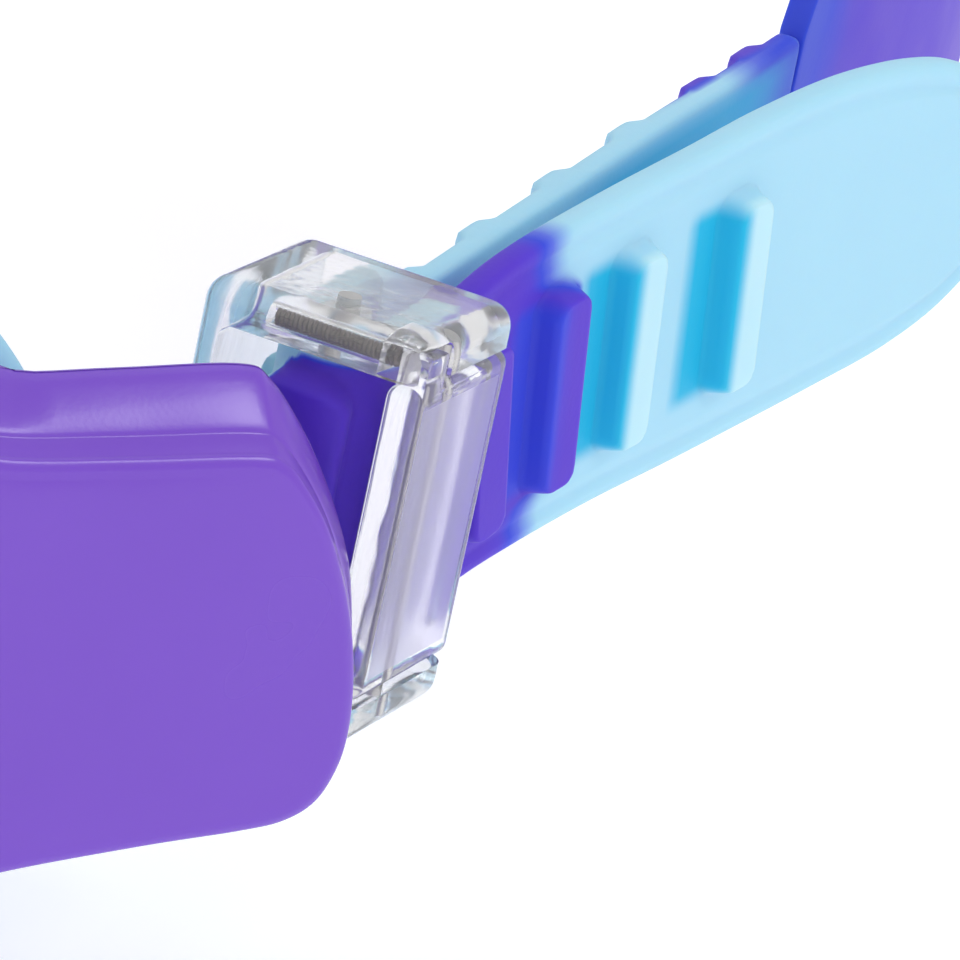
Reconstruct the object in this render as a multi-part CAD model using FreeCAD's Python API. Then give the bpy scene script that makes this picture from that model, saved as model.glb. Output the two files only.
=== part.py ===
import FreeCAD, Part
import math
import os

from FreeCAD import Vector

# Children's swim goggles. Millimetres, +Z up, +X to the wearer's left, the lenses face -Y.
# Everything on the +X side is drawn once and mirrored to the -X side. The drawing starts with the
# front face at Y = 0, and save() moves every part forward by half the length of the object.

# Driving dimensions
FRAME_HEIGHT = 42.0          # of the rim round each lens
RIM_CENTRE_X = 32.5          # half the distance between the lens centres
FRAME_DEPTH = 9.0            # front face to the back of the rim
BEND_START_X = 46.0          # where the flat front turns into the side wing
BEND_RADIUS = 16.0
WING_ANGLE = 50.0            # of the wing's outer face from the X axis, in degrees
WING_LENGTH = 19.8           # the straight run of the wing
WING_THICKNESS = 4.0
FACE_LAYER = 2.2             # thickness of the raised outer face; the flange behind it is larger
LENS_THICKNESS = 2.0
LENS_HALF = (21.5, 14.5)     # half width and half height of the clear opening
BUCKLE_SIZE = (12.5, 11.5, 21.5)
BUCKLE_FRONT_Y = 24.3
BUCKLE_OUTER_X = 70.0
BUCKLE_TOP = 38.0
WALL = 2.2                   # top and bottom walls of the buckle
INNER_WALL = 1.5
OUTER_WALL = 2.0
STRAP_WIDTH = 16.6
STRAP_THICKNESS = 1.6
RIB_HEIGHT = 1.4
RUN_RIB_HEIGHT = 0.7          # the long ribs that lie towards the head are lower
RIB_WIDTH = 3.0
RIB_LENGTH = 11.5
RIB_PITCH = 7.2
SHOULDER_Y = 87.0            # where the narrow ribbed strap meets the wide back band
BACK_Y = 165.0               # rearmost face of the strap loop
SWIVEL_PIN_RADIUS = 0.8
POST_PIN_RADIUS = 0.6
LEVER_PIN_RADIUS = 0.45
ROLLER_RADIUS = 1.2
FOLD_INNER_RADIUS = 1.4
RUNNING_CLEARANCE = 0.05

# Places that follow from them
FRAME_CENTRE_Z = FRAME_HEIGHT / 2
BUCKLE_INNER_X = BUCKLE_OUTER_X - BUCKLE_SIZE[0]
BUCKLE_BACK_Y = BUCKLE_FRONT_Y + BUCKLE_SIZE[1]
BUCKLE_BOTTOM = BUCKLE_TOP - BUCKLE_SIZE[2]
STRAP_Z = (BUCKLE_TOP + BUCKLE_BOTTOM) / 2
POST_X = (BUCKLE_INNER_X + INNER_WALL + BUCKLE_OUTER_X - OUTER_WALL) / 2
FOLD_OUTER_RADIUS = FOLD_INNER_RADIUS + STRAP_THICKNESS
POST_Y = BUCKLE_FRONT_Y + FOLD_OUTER_RADIUS + RIB_HEIGHT + 0.4
SWIVEL_X = 59.5
SWIVEL_Y = 20.3
BARREL = (20.0, 29.3)
SWING_GAP = 0.95             # between the wing's tip and the buckle, so that the buckle can swing out
LEVER_PIN_X = BUCKLE_OUTER_X - 1.0
LEVER_GAP = 0.3
SPRING_Y = 26.4
SPRING_Z = BUCKLE_TOP - 1.2
SPRING_RADIUS = 0.65
SPRING_LENGTH = 7.0
OUT_OF_REACH = 60.0          # longer than anything that a cutting prism has to pass through

wing_cos = math.cos(math.radians(WING_ANGLE))
wing_sin = math.sin(math.radians(WING_ANGLE))
BEND_END_X = BEND_START_X + BEND_RADIUS * wing_sin
BEND_END_Y = BEND_RADIUS * (1 - wing_cos)
WING_END_X = BEND_END_X + WING_LENGTH * wing_cos
WING_END_Y = BEND_END_Y + WING_LENGTH * wing_sin


def box(x0, x1, y0, y1, z0, z1):
    return Part.makeBox(x1 - x0, y1 - y0, z1 - z0, Vector(x0, y0, z0))


def cylinder(x, y, z0, z1, radius):
    return Part.makeCylinder(radius, z1 - z0, Vector(x, y, z0))


def closed_wire(points):
    return Part.makePolygon([Vector(*p) for p in points] + [Vector(*points[0])])


def prism(wire, direction):
    return Part.Face(wire).extrude(Vector(*direction))


def oval(half_x, half_z, y, centre_x=RIM_CENTRE_X, centre_z=FRAME_CENTRE_Z, squareness=2.6, steps=24):
    """Closed smooth wire of a rounded oval that stands upright in the XZ plane."""
    power = 2.0 / squareness
    points = []
    for i in range(steps):
        t = 2 * math.pi * i / steps
        c, s = math.cos(t), math.sin(t)
        x = centre_x + half_x * math.copysign(abs(c) ** power, c)
        z = centre_z + half_z * math.copysign(abs(s) ** power, s)
        points.append(Vector(x, y, z))
    curve = Part.BSplineCurve()
    curve.interpolate(points, PeriodicFlag=True)
    return Part.Wire([curve.toShape()])


def oval_ring(outer, inner, y0, y1):
    """Ring between two ovals of half sizes outer and inner, from y0 back to y1."""
    depth = (0, y1 - y0, 0)
    hole = prism(oval(inner[0], inner[1], y0 - 1), (0, y1 - y0 + 2, 0))
    return prism(oval(outer[0], outer[1], y0), depth).cut(hole)


def wing_point(along, inward, z=0.0):
    """Point on the wing: along from its end towards the lens, inward from its outer face."""
    x = WING_END_X - along * wing_cos - inward * wing_sin
    y = WING_END_Y - along * wing_sin + inward * wing_cos
    return Vector(x, y, z)


def plate_plan(near, far, rim_far):
    """Plan outline of the +X half between two depths behind the front face.

    far is the depth on the wing, rim_far the depth behind the flat front.
    """
    half_bend = math.radians(WING_ANGLE / 2)
    near_radius = BEND_RADIUS - near
    centre = Vector(BEND_START_X, BEND_RADIUS, 0)
    flat_end = Vector(BEND_START_X, near, 0)
    bend_middle = centre + Vector(math.sin(half_bend), -math.cos(half_bend), 0) * near_radius
    bend_end = centre + Vector(wing_sin, -wing_cos, 0) * near_radius
    near_end = wing_point(-4, near)
    far_end = wing_point(-4, far)
    corner = wing_point((wing_point(0, far).y - rim_far) / wing_sin, far)
    middle_near = Vector(-0.5, near, 0)
    middle_far = Vector(-0.5, rim_far, 0)
    edges = [
        Part.makeLine(middle_near, flat_end),
        Part.Arc(flat_end, bend_middle, bend_end).toShape(),
        Part.makeLine(bend_end, near_end),
        Part.makeLine(near_end, far_end),
        Part.makeLine(far_end, corner),
        Part.makeLine(corner, middle_far),
        Part.makeLine(middle_far, middle_near),
    ]
    return Part.Face(Part.Wire(edges)).extrude(Vector(0, 0, OUT_OF_REACH))


# Outline of the wing's end seen square to its face: (distance from the end, z).
FACE_END = [
    (7.6, 60), (7.3, 33.1), (5.8, 32.8), (4.3, 31.6), (2.6, 29.4), (1.1, 26.5), (0.1, 23.8), (-0.5, 21.3),
    (-0.8, 19.0), (-0.6, 17.0), (0.2, 15.1), (1.7, 14.0), (4.0, 13.4), (9.2, 12.5), (16.5, 11.0), (22, 9.9),
]
FLANGE_END = [
    (8.2, 60), (7.7, 36.7), (5.9, 35.9), (3.4, 33.2), (1.3, 30.0), (-0.3, 26.8), (-1.0, 24.2), (-1.4, 21.7),
    (-1.5, 19.0), (-1.2, 16.2), (-0.2, 14.0), (1.6, 12.6), (4.0, 12.0), (9.2, 11.1), (16.5, 9.6), (22, 8.5),
]


def end_clip(outline):
    """Prism square to the wing that cuts its end to the outline and leaves the rest alone."""
    corners = outline + [(24, -30), (110, -30), (110, 60)]
    wire = closed_wire([tuple(wing_point(along, -12, z)) for along, z in corners])
    inward = wing_point(0, 1) - wing_point(0, 0)
    return Part.Face(wire).extrude(inward * OUT_OF_REACH)


def front_view(half_x, half_z, drop):
    """Front outline of the +X half, as a prism along Y: rim, nose bridge and wing."""
    rim = prism(oval(half_x, half_z, -1), (0, OUT_OF_REACH, 0))
    bridge = box(-1, 14, -1, FRAME_DEPTH + 1, 18.8 - drop * 0.5, 28.2 + drop * 0.5)
    top = FRAME_CENTRE_Z + half_z
    bottom = FRAME_CENTRE_Z - half_z
    wing = prism(
        closed_wire(
            [
                (36, -1, top - 0.3), (46, -1, top - 2.4), (56, -1, 32.4 + drop), (63, -1, 33.2 + drop),
                (85, -1, 33.3 + drop), (85, -1, 2), (63, -1, 10.6 - drop * 0.42), (56, -1, 9.6 - drop * 0.42),
                (46, -1, bottom + 2.4), (36, -1, bottom + 0.3),
            ]
        ),
        (0, OUT_OF_REACH, 0),
    )
    return rim.fuse([bridge, wing])


def swivel_lugs():
    """The wing's two ears, which carry the buckle's swivel pin."""
    ears = []
    inward = wing_point(0, 1) - wing_point(0, 0)
    along = wing_point(1, 0) - wing_point(0, 0)
    for z0, z1 in ((15.6, 19.7), (29.6, 33.2)):
        ear = cylinder(SWIVEL_X, SWIVEL_Y, z0, z1, 2.2)
        pin = Vector(SWIVEL_X, SWIVEL_Y, z0)
        corners = ((2.2, 0), (2.2, 5.5), (-2.2, 5.5), (-2.2, 0))
        web = closed_wire([tuple(pin + along * a - inward * b) for a, b in corners])
        ears.append(ear.fuse(prism(web, (0, 0, z1 - z0))))
    return ears


def frame_half():
    face = plate_plan(0, FACE_LAYER, FACE_LAYER)
    face = face.common(front_view(27.0, FRAME_HEIGHT / 2 - 2.0, 0.0)).common(end_clip(FACE_END))
    flange = plate_plan(FACE_LAYER, WING_THICKNESS, FRAME_DEPTH)
    flange = flange.common(front_view(29.0, FRAME_HEIGHT / 2, 3.4)).common(end_clip(FLANGE_END))
    half = face.fuse([flange] + swivel_lugs())
    opening = prism(oval(LENS_HALF[0] - 1.5, LENS_HALF[1] - 1.5, -1), (0, OUT_OF_REACH, 0))
    lens_seat = prism(oval(LENS_HALF[0] + 0.1, LENS_HALF[1] + 0.1, 2.0), (0, OUT_OF_REACH, 0))
    half = half.cut([opening, lens_seat])
    pin_hole = cylinder(SWIVEL_X, SWIVEL_Y, 0, OUT_OF_REACH, SWIVEL_PIN_RADIUS + 0.01)
    swing_room = box(62, 80, BUCKLE_FRONT_Y - SWING_GAP, 60, 0, OUT_OF_REACH)
    return half.cut([pin_hole, swing_room])


def frame_front():
    half = frame_half()
    other = half.mirror(Vector(0, 0, 0), Vector(1, 0, 0))
    return half.fuse(other).removeSplitter()


def lens():
    return prism(oval(LENS_HALF[0], LENS_HALF[1], 2.1), (0, LENS_THICKNESS, 0))


def lens_retainer():
    """Stiff ring that is pressed in behind the lens and carries the seal's bead."""
    y0 = 2.1 + LENS_THICKNESS + 0.05
    return oval_ring(LENS_HALF, (LENS_HALF[0] - 1.6, LENS_HALF[1] - 1.6), y0, FRAME_DEPTH)


def face_seal():
    """Soft cup that bears on the face: a collar behind the rim, then a flared lip."""
    y0 = FRAME_DEPTH + 0.05
    collar = oval_ring((22.6, 15.6), (19.6, 12.6), y0, y0 + 5.0)
    lip = oval_ring((24.5, 17.6), (20.0, 13.0), y0 + 5.0, y0 + 8.0)
    return collar.fuse(lip).removeSplitter()


def buckle_housing():
    x0, x1 = BUCKLE_INNER_X, BUCKLE_OUTER_X
    y0, y1 = BUCKLE_FRONT_Y, BUCKLE_BACK_Y
    z0, z1 = BUCKLE_BOTTOM, BUCKLE_TOP
    block = box(x0, x1, y0, y1, z0, z1)
    upright = [e for e in block.Edges if abs(e.tangentAt(e.FirstParameter).z) > 0.9]
    block = block.makeFillet(1.4, upright)
    level = [e for e in block.Edges if abs(e.tangentAt(e.FirstParameter).z) < 0.1]
    block = block.makeFillet(0.9, level)
    cavity = box(x0 + INNER_WALL, x1 - OUTER_WALL, y0 - 1, y1 + 1, z0 + WALL, z1 - WALL)
    lever_window = box(x1 - OUTER_WALL - 1, x1 + 1, y0 - 1, y1 + 1, z0 + WALL, z1 - WALL)
    ear_pocket = box(x1 - OUTER_WALL - 0.6, x1 + 1, SPRING_Y - 1.6, SPRING_Y + 1.6, z1 - WALL - 1, z1 - 0.5)
    spring_bore = Part.makeCylinder(
        SPRING_RADIUS + 0.1, SPRING_LENGTH, Vector(x1 - OUTER_WALL, SPRING_Y, SPRING_Z), Vector(-1, 0, 0)
    )
    post_bore = cylinder(POST_X, POST_Y, z0 + 0.8, z1 - 0.8, POST_PIN_RADIUS + 0.01)
    lever_bore = cylinder(LEVER_PIN_X, POST_Y, z0 + 0.8, z1 - 0.8, LEVER_PIN_RADIUS + 0.01)
    arm = box(x0, x0 + 1.9, SWIVEL_Y, y0 + 0.6, BARREL[0], BARREL[1])
    barrel = cylinder(SWIVEL_X, SWIVEL_Y, BARREL[0], BARREL[1], 2.0)
    swivel_bore = cylinder(SWIVEL_X, SWIVEL_Y, 0, OUT_OF_REACH, SWIVEL_PIN_RADIUS + RUNNING_CLEARANCE)
    body = block.cut([cavity, lever_window, ear_pocket, spring_bore, post_bore, lever_bore])
    return body.fuse([arm, barrel]).cut(swivel_bore)


def release_lever():
    """Rocker in the buckle's outer wall. Its rear tooth drops between two strap ribs."""
    x0, x1 = BUCKLE_OUTER_X - OUTER_WALL, BUCKLE_OUTER_X
    z0, z1 = BUCKLE_BOTTOM + WALL + LEVER_GAP, BUCKLE_TOP - WALL - LEVER_GAP
    plate = box(x0, x1, BUCKLE_FRONT_Y + 0.3, BUCKLE_BACK_Y - 0.1, z0, z1)
    outer = [e for e in plate.Edges if e.BoundBox.XMin > x1 - 0.01 and e.BoundBox.ZLength > 5]
    plate = plate.makeFillet(1.2, outer)
    ear = box(x0 + 0.3, x1, SPRING_Y - 1.2, SPRING_Y + 1.2, z1 - 1, BUCKLE_TOP - 0.9)
    tooth = prism(
        closed_wire(
            [
                (x0, BUCKLE_BACK_Y - 2.6, z0 + 1.5),
                (x0 - 1.2, BUCKLE_BACK_Y - 0.9, z0 + 1.5),
                (x0 - 1.2, BUCKLE_BACK_Y - 0.4, z0 + 1.5),
                (x0, BUCKLE_BACK_Y - 0.4, z0 + 1.5),
            ]
        ),
        (0, 0, z1 - z0 - 3.0),
    )
    bore = cylinder(LEVER_PIN_X, POST_Y, 0, OUT_OF_REACH, LEVER_PIN_RADIUS + RUNNING_CLEARANCE)
    return plate.fuse([ear, tooth]).cut(bore)


def strap_roller():
    z0, z1 = BUCKLE_BOTTOM + WALL + 0.15, BUCKLE_TOP - WALL - 0.15
    sleeve = cylinder(POST_X, POST_Y, z0, z1, ROLLER_RADIUS)
    return sleeve.cut(cylinder(POST_X, POST_Y, 0, OUT_OF_REACH, POST_PIN_RADIUS + RUNNING_CLEARANCE))


def strap_fold():
    """The stretch of strap that goes round the roller, with the ribs on its outside."""
    z0, z1 = STRAP_Z - STRAP_WIDTH / 2, STRAP_Z + STRAP_WIDTH / 2
    end_y = BUCKLE_BACK_Y + 0.1

    def stadium(radius):
        turn = cylinder(POST_X, POST_Y, z0, z1, radius)
        return turn.fuse(box(POST_X - radius, POST_X + radius, POST_Y, end_y, z0, z1))

    fold = stadium(FOLD_OUTER_RADIUS).cut(stadium(FOLD_INNER_RADIUS))
    reach = FOLD_OUTER_RADIUS + RIB_HEIGHT
    rib_z0 = STRAP_Z - RIB_LENGTH / 2
    front_rib = box(-RIB_WIDTH / 2, RIB_WIDTH / 2, -reach, -FOLD_OUTER_RADIUS + 0.5, rib_z0, rib_z0 + RIB_LENGTH)
    front_rib.translate(Vector(POST_X, POST_Y, 0))
    solids = [front_rib]
    for side in (-1, 1):
        inner = POST_X + side * (FOLD_OUTER_RADIUS - 0.4)
        outer = POST_X + side * reach
        x0, x1 = min(inner, outer), max(inner, outer)
        y0 = POST_Y + 0.9
        solids.append(box(x0, x1, y0, y0 + RIB_WIDTH, rib_z0, rib_z0 + RIB_LENGTH))
    return fold.fuse(solids)


def smooth_curve(points, start, end):
    curve = Part.BSplineCurve()
    curve.interpolate(
        [Vector(*p) for p in points], InitialTangent=Vector(*start), FinalTangent=Vector(*end), Scale=False
    )
    return curve


def band_plan(centre):
    """Plan face of a band of the strap's thickness whose middle follows the curve centre."""
    steps = 16
    first, last = centre.FirstParameter, centre.LastParameter
    sides = ([], [])
    for i in range(steps + 1):
        t = first + (last - first) * i / steps
        point, along = centre.value(t), centre.tangent(t)[0]
        across = Vector(along.y, -along.x, 0) * (STRAP_THICKNESS / 2)
        sides[0].append(point + across)
        sides[1].append(point - across)
    edges = []
    for side in sides:
        curve = Part.BSplineCurve()
        curve.interpolate(side)
        edges.append(curve.toShape())
    edges.append(Part.makeLine(sides[0][0], sides[1][0]))
    edges.append(Part.makeLine(sides[0][-1], sides[1][-1]))
    return Part.Face(Part.Wire(Part.__sortEdges__(edges)))


def side_profile(lower, upper):
    """Prism along X whose side view lies between two smooth edges, both lists of (y, z)."""
    edges = []
    for points in (lower, upper):
        curve = Part.BSplineCurve()
        curve.interpolate([Vector(-1, y, z) for y, z in points])
        edges.append(curve.toShape())
    edges.append(Part.makeLine(Vector(-1, *lower[0]), Vector(-1, *upper[0])))
    edges.append(Part.makeLine(Vector(-1, *lower[-1]), Vector(-1, *upper[-1])))
    face = Part.Face(Part.Wire(Part.__sortEdges__(edges)))
    return face.extrude(Vector(OUT_OF_REACH * 2, 0, 0))


def rib_on(centre, y, z, side, slope, length, height):
    """One rib, on the side (+1 outer, -1 inner) of the band whose middle is centre, at y."""
    low, high = centre.FirstParameter, centre.LastParameter
    for _ in range(40):
        t = (low + high) / 2
        if centre.value(t).y < y:
            low = t
        else:
            high = t
    point, along = centre.value(t), centre.tangent(t)[0]
    across = Vector(along.y, -along.x, 0) * side
    rib = box(-RIB_WIDTH / 2, RIB_WIDTH / 2, -0.5, height, -length / 2, length / 2)
    rib.rotate(Vector(0, 0, 0), Vector(0, 1, 0), side * math.degrees(math.atan(slope)))
    turn = math.degrees(math.atan2(across.y, across.x)) - 90
    rib.rotate(Vector(0, 0, 0), Vector(0, 0, 1), turn)
    rib.translate(Vector(point.x, point.y, z) + across * (STRAP_THICKNESS / 2))
    return rib


LAYER_OFFSET = FOLD_INNER_RADIUS + STRAP_THICKNESS / 2
RUN_START_Y = BUCKLE_BACK_Y + 0.3
SHOULDER_X = 62.8
BACK_SQUARENESS = 2.8         # 2 would be a plain half oval; more keeps the sides straighter

# Edges of the two layers seen from the side: (y, z) from the buckle to the far end.
RUN_UPPER = [(RUN_START_Y, 35.3), (43, 35.0), (49, 35.6), (56, 36.7), (65, 38.2), (74, 39.6), (SHOULDER_Y, 41.2)]
TAIL_UPPER = [
    (RUN_START_Y, 35.55), (40, 37.3), (44, 39.0), (52, 41.1), (60, 42.7), (66, 43.8), (73, 44.5),
    (80, 44.3), (85, 43.3), (89, 41.4), (91.5, 39.0),
]
TAIL_LOWER = [
    (RUN_START_Y, 18.95), (40, 19.8), (44, 20.7), (52, 22.2), (60, 23.4), (66, 24.4), (73, 25.6),
    (80, 26.9), (85, 28.5), (89, 31.0), (91.5, 34.0),
]
RUN_RIB_Y = [44.3, 52.6, 60.8, 69.0, 77.3, 83.4]
TAIL_RIB_Y = [40.6, 47.1, 53.7, 63.2]


def height_at(edge, y):
    """Height of an edge, a list of (y, z), at y."""
    for (y0, z0), (y1, z1) in zip(edge, edge[1:]):
        if y <= y1:
            return z0 + (z1 - z0) * (y - y0) / (y1 - y0)
    return edge[-1][1]


def ribbed_band(centre, lower, upper, rib_stations, side, rib_length, rib_height):
    """Band between two edges, bent along centre, with ribs on one side of it."""
    band = band_plan(centre).extrude(Vector(0, 0, OUT_OF_REACH * 1.5))
    solids = []
    for y in rib_stations:
        ahead = height_at(upper, y + 3) + height_at(lower, y + 3)
        behind = height_at(upper, y - 3) + height_at(lower, y - 3)
        middle = (height_at(upper, y) + height_at(lower, y)) / 2
        solids.append(rib_on(centre, y, middle, side, (ahead - behind) / 12, rib_length, rib_height))
    return band.common(side_profile(lower, upper)).fuse(solids)


def strap_run():
    """Inner layer: from the buckle to the shoulder, ribs towards the head."""
    centre = smooth_curve(
        [(POST_X - LAYER_OFFSET, RUN_START_Y, 0), (61.2, 50, 0), (62.2, 68, 0), (SHOULDER_X, SHOULDER_Y, 0)],
        (0, 1, 0), (0, 1, 0),
    )
    lower = [(y, z - STRAP_WIDTH) for y, z in RUN_UPPER]
    return ribbed_band(centre, lower, RUN_UPPER, RUN_RIB_Y, -1, STRAP_WIDTH - 0.4, RUN_RIB_HEIGHT)


def strap_tail():
    """Outer layer: the free end, ribbed near the buckle, then a smooth rounded pull tab."""
    centre = smooth_curve(
        [(POST_X + LAYER_OFFSET, RUN_START_Y, 0), (67.3, 48, 0), (70.4, 65, 0), (75.6, 91.5, 0)],
        (0.04, 1, 0), (0.2, 1, 0),
    )
    return ribbed_band(centre, TAIL_LOWER, TAIL_UPPER, TAIL_RIB_Y, 1, RIB_LENGTH, RIB_HEIGHT)


def strap_back():
    """Wide band round the back of the head. A slit parts it in two, and the parts spread."""
    start_y = SHOULDER_Y + 0.1
    half = STRAP_THICKNESS / 2
    depth = BACK_Y - half - start_y
    reach = 90.0

    def half_oval(grow):
        a, b = SHOULDER_X + grow, depth + grow
        points = []
        for i in range(41):
            turn = math.pi * i / 40
            along, deep = math.cos(turn), max(0.0, math.sin(turn))
            side = math.copysign(abs(along) ** (2 / BACK_SQUARENESS), along)
            points.append((a * side, start_y + b * deep ** (2 / BACK_SQUARENESS), 0))
        arc = smooth_curve(points, (0, 1, 0), (0, -1, 0)).toShape()
        base = Part.makeLine(Vector(-a, start_y, 0), Vector(a, start_y, 0))
        return prism(Part.Wire([arc, base]), (0, 0, OUT_OF_REACH))

    def side_view(points):
        wire = closed_wire([(-reach, y, z) for y, z in points])
        return prism(wire, (2 * reach, 0, 0))

    band = half_oval(half).cut(half_oval(-half))
    top, bottom = RUN_UPPER[-1][1], RUN_UPPER[-1][1] - STRAP_WIDTH
    outline = [
        (start_y, bottom), (start_y + 1.2, bottom - 3.2), (start_y + 3.5, bottom - 5.6), (start_y + 9, bottom - 6.0),
        (start_y + 28, bottom - 3.0), (start_y + 48, bottom + 0.2), (start_y + 66, bottom + 1.8),
        (BACK_Y + 5, bottom + 2.4), (BACK_Y + 5, top + 13.0), (start_y + 66, top + 12.6), (start_y + 48, top + 11.6),
        (start_y + 28, top + 9.0), (start_y + 9, top + 6.2), (start_y + 3.5, top + 5.4), (start_y + 1.2, top + 3.2),
        (start_y, top),
    ]
    slit = [
        (start_y + 40.0, top - 4.6), (start_y + 41.2, top - 2.4), (start_y + 48, top + 0.6),
        (start_y + 66, top + 1.9), (BACK_Y + 6, top + 2.4), (BACK_Y + 6, bottom + 12.4),
        (start_y + 66, bottom + 11.6), (start_y + 48, bottom + 10.0), (start_y + 41.2, bottom + 10.2),
    ]
    return band.common(side_view(outline)).cut(side_view(slit))


def side_parts():
    """Everything that there is one of on each side, drawn for the +X side."""
    pin_z0, pin_z1 = BUCKLE_BOTTOM + 0.9, BUCKLE_TOP - 0.9
    spring_start = Vector(BUCKLE_OUTER_X - OUTER_WALL + 0.28, SPRING_Y, SPRING_Z)
    spring = Part.makeCylinder(SPRING_RADIUS, SPRING_LENGTH + 0.2, spring_start, Vector(-1, 0, 0))
    return {
        "lens": lens(),
        "lens_retainer": lens_retainer(),
        "face_seal": face_seal(),
        "swivel_pin": cylinder(SWIVEL_X, SWIVEL_Y, 15.7, 33.1, SWIVEL_PIN_RADIUS),
        "buckle_housing": buckle_housing(),
        "release_lever": release_lever(),
        "lever_pin": cylinder(LEVER_PIN_X, POST_Y, pin_z0, pin_z1, LEVER_PIN_RADIUS),
        "lever_spring": spring,
        "post_pin": cylinder(POST_X, POST_Y, pin_z0, pin_z1, POST_PIN_RADIUS),
        "strap_roller": strap_roller(),
        "strap_fold": strap_fold(),
        "strap_run": strap_run(),
        "strap_tail": strap_tail(),
    }


def save(shape, node):
    if not shape.isValid():
        print("not valid:", node)
    print(node, len(shape.Solids), "solid(s)", round(shape.Volume, 1), "mm3")
    shape = shape.translated(Vector(0, -BACK_Y / 2, 0))
    shape.exportStep("parts/" + node + ".step")


os.makedirs("parts", exist_ok=True)
save(frame_front(), "frame_front")
save(strap_back(), "strap_back")
for name, shape in side_parts().items():
    save(shape, name + "_left")
    save(shape.mirror(Vector(0, 0, 0), Vector(1, 0, 0)), name + "_right")
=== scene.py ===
# %% [markdown]
# Swim goggles: a hard purple frame, two clear strap buckles on its sides, and one silicone strap that fades
# from purple to pale blue. The imported model gives every piece its place, so it is loaded first.

# %% Load the imported model
import bpy
import math
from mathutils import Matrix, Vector


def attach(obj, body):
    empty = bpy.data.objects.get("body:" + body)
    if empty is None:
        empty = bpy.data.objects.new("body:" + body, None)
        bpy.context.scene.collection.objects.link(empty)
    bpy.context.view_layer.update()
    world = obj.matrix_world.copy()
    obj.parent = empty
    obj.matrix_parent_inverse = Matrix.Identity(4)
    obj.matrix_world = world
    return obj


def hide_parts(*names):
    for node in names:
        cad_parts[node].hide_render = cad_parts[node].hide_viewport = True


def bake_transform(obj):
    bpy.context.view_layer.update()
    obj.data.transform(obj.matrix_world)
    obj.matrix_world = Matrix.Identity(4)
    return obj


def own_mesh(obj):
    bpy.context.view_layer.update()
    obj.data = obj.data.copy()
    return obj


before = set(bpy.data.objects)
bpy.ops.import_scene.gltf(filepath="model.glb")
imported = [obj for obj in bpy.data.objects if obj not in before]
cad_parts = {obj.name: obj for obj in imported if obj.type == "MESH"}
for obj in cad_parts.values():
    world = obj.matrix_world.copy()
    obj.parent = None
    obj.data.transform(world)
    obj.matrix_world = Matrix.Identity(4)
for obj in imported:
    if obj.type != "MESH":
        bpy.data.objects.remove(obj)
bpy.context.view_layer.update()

# %% [markdown]
# The goggles are small, so places are written in millimetres and turned into metres in one spot. As in the
# model, a drawing starts with the front face of the frame at Y = 0, and FORWARD moves it to its place.

# %% Units
MM = 0.001
FORWARD = 82.5
SIDES = {"left": 1, "right": -1}


def at(x, y, z):
    """Place in metres for a point given in millimetres behind the front face."""
    return Vector((x * MM, (y - FORWARD) * MM, z * MM))


def blend(low, high, value):
    """0 below low, 1 above high, and a smooth rise between them."""
    share = min(1.0, max(0.0, (value - low) / (high - low)))
    return share * share * (3 - 2 * share)


def along_table(table, x):
    """Value at x on a smooth line through a table of (x, value) pairs."""
    if x <= table[0][0]:
        return table[0][1]
    if x >= table[-1][0]:
        return table[-1][1]
    k = max(i for i in range(len(table) - 1) if table[i][0] <= x)
    x0, y0 = table[k]
    x1, y1 = table[k + 1]
    before = table[max(0, k - 1)]
    after = table[min(len(table) - 1, k + 2)]
    slope0 = (y1 - before[1]) / (x1 - before[0])
    slope1 = (after[1] - y0) / (after[0] - x0)
    t = (x - x0) / (x1 - x0)
    step = x1 - x0
    return (
        (2 * t**3 - 3 * t**2 + 1) * y0 + (t**3 - 2 * t**2 + t) * step * slope0
        + (-2 * t**3 + 3 * t**2) * y1 + (t**3 - t**2) * step * slope1
    )


print("one unit is", MM, "m and the front face starts at", tuple(at(0, 0, 0)))

# %% [markdown]
# A product table in a studio is a pale floor with large soft lights, so that gloss shows as broad bright
# shapes with no hard shadows. The world is almost white, which clear plastic also needs to look clear.

# %% Floor and light
scene = bpy.context.scene
scene.view_settings.view_transform = "Standard"

bpy.ops.object.select_all(action="DESELECT")
bpy.ops.mesh.primitive_plane_add(size=6.0, location=(0, 0, -0.0005))
floor = bpy.context.object
floor.name = "studio_floor"

paper = bpy.data.materials.new("studio_paper")
paper.use_nodes = True
paper_shader = paper.node_tree.nodes["Principled BSDF"]
paper_shader.label = "white paper"
paper_shader.inputs["Base Color"].default_value = (0.93, 0.93, 0.94, 1)
paper_shader.inputs["Roughness"].default_value = 0.9
paper_shader.inputs["Specular IOR Level"].default_value = 0.1
paper_shader.inputs["Emission Color"].default_value = (1, 1, 1, 1)
paper_shader.inputs["Emission Strength"].default_value = 0.3
floor.data.materials.append(paper)

world = bpy.data.worlds.new("studio_world")
scene.world = world
world.use_nodes = True
sky = world.node_tree.nodes["Background"]
sky.label = "even studio light"
sky.inputs["Color"].default_value = (1.0, 1.0, 1.0, 1)
sky.inputs["Strength"].default_value = 0.8

AIM = Vector((0.05, -0.04, 0.03))
softboxes = (  # name, place, size of its side, power
    ("softbox_key", (-0.35, -0.75, 0.75), 0.6, 0.3),
    ("softbox_side", (0.70, -0.10, 0.62), 0.2, 1.0),
    ("softbox_top", (0.05, 0.15, 0.9), 0.7, 0.7),
)
for name, place, size, power in softboxes:
    bpy.ops.object.light_add(type="AREA", location=place)
    lamp = bpy.context.object
    lamp.name = name
    lamp.data.size = size
    lamp.data.energy = power
    lamp.rotation_euler = (AIM - Vector(place)).to_track_quat("-Z", "Y").to_euler()
print("lights", [name for name, *_ in softboxes])

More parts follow.
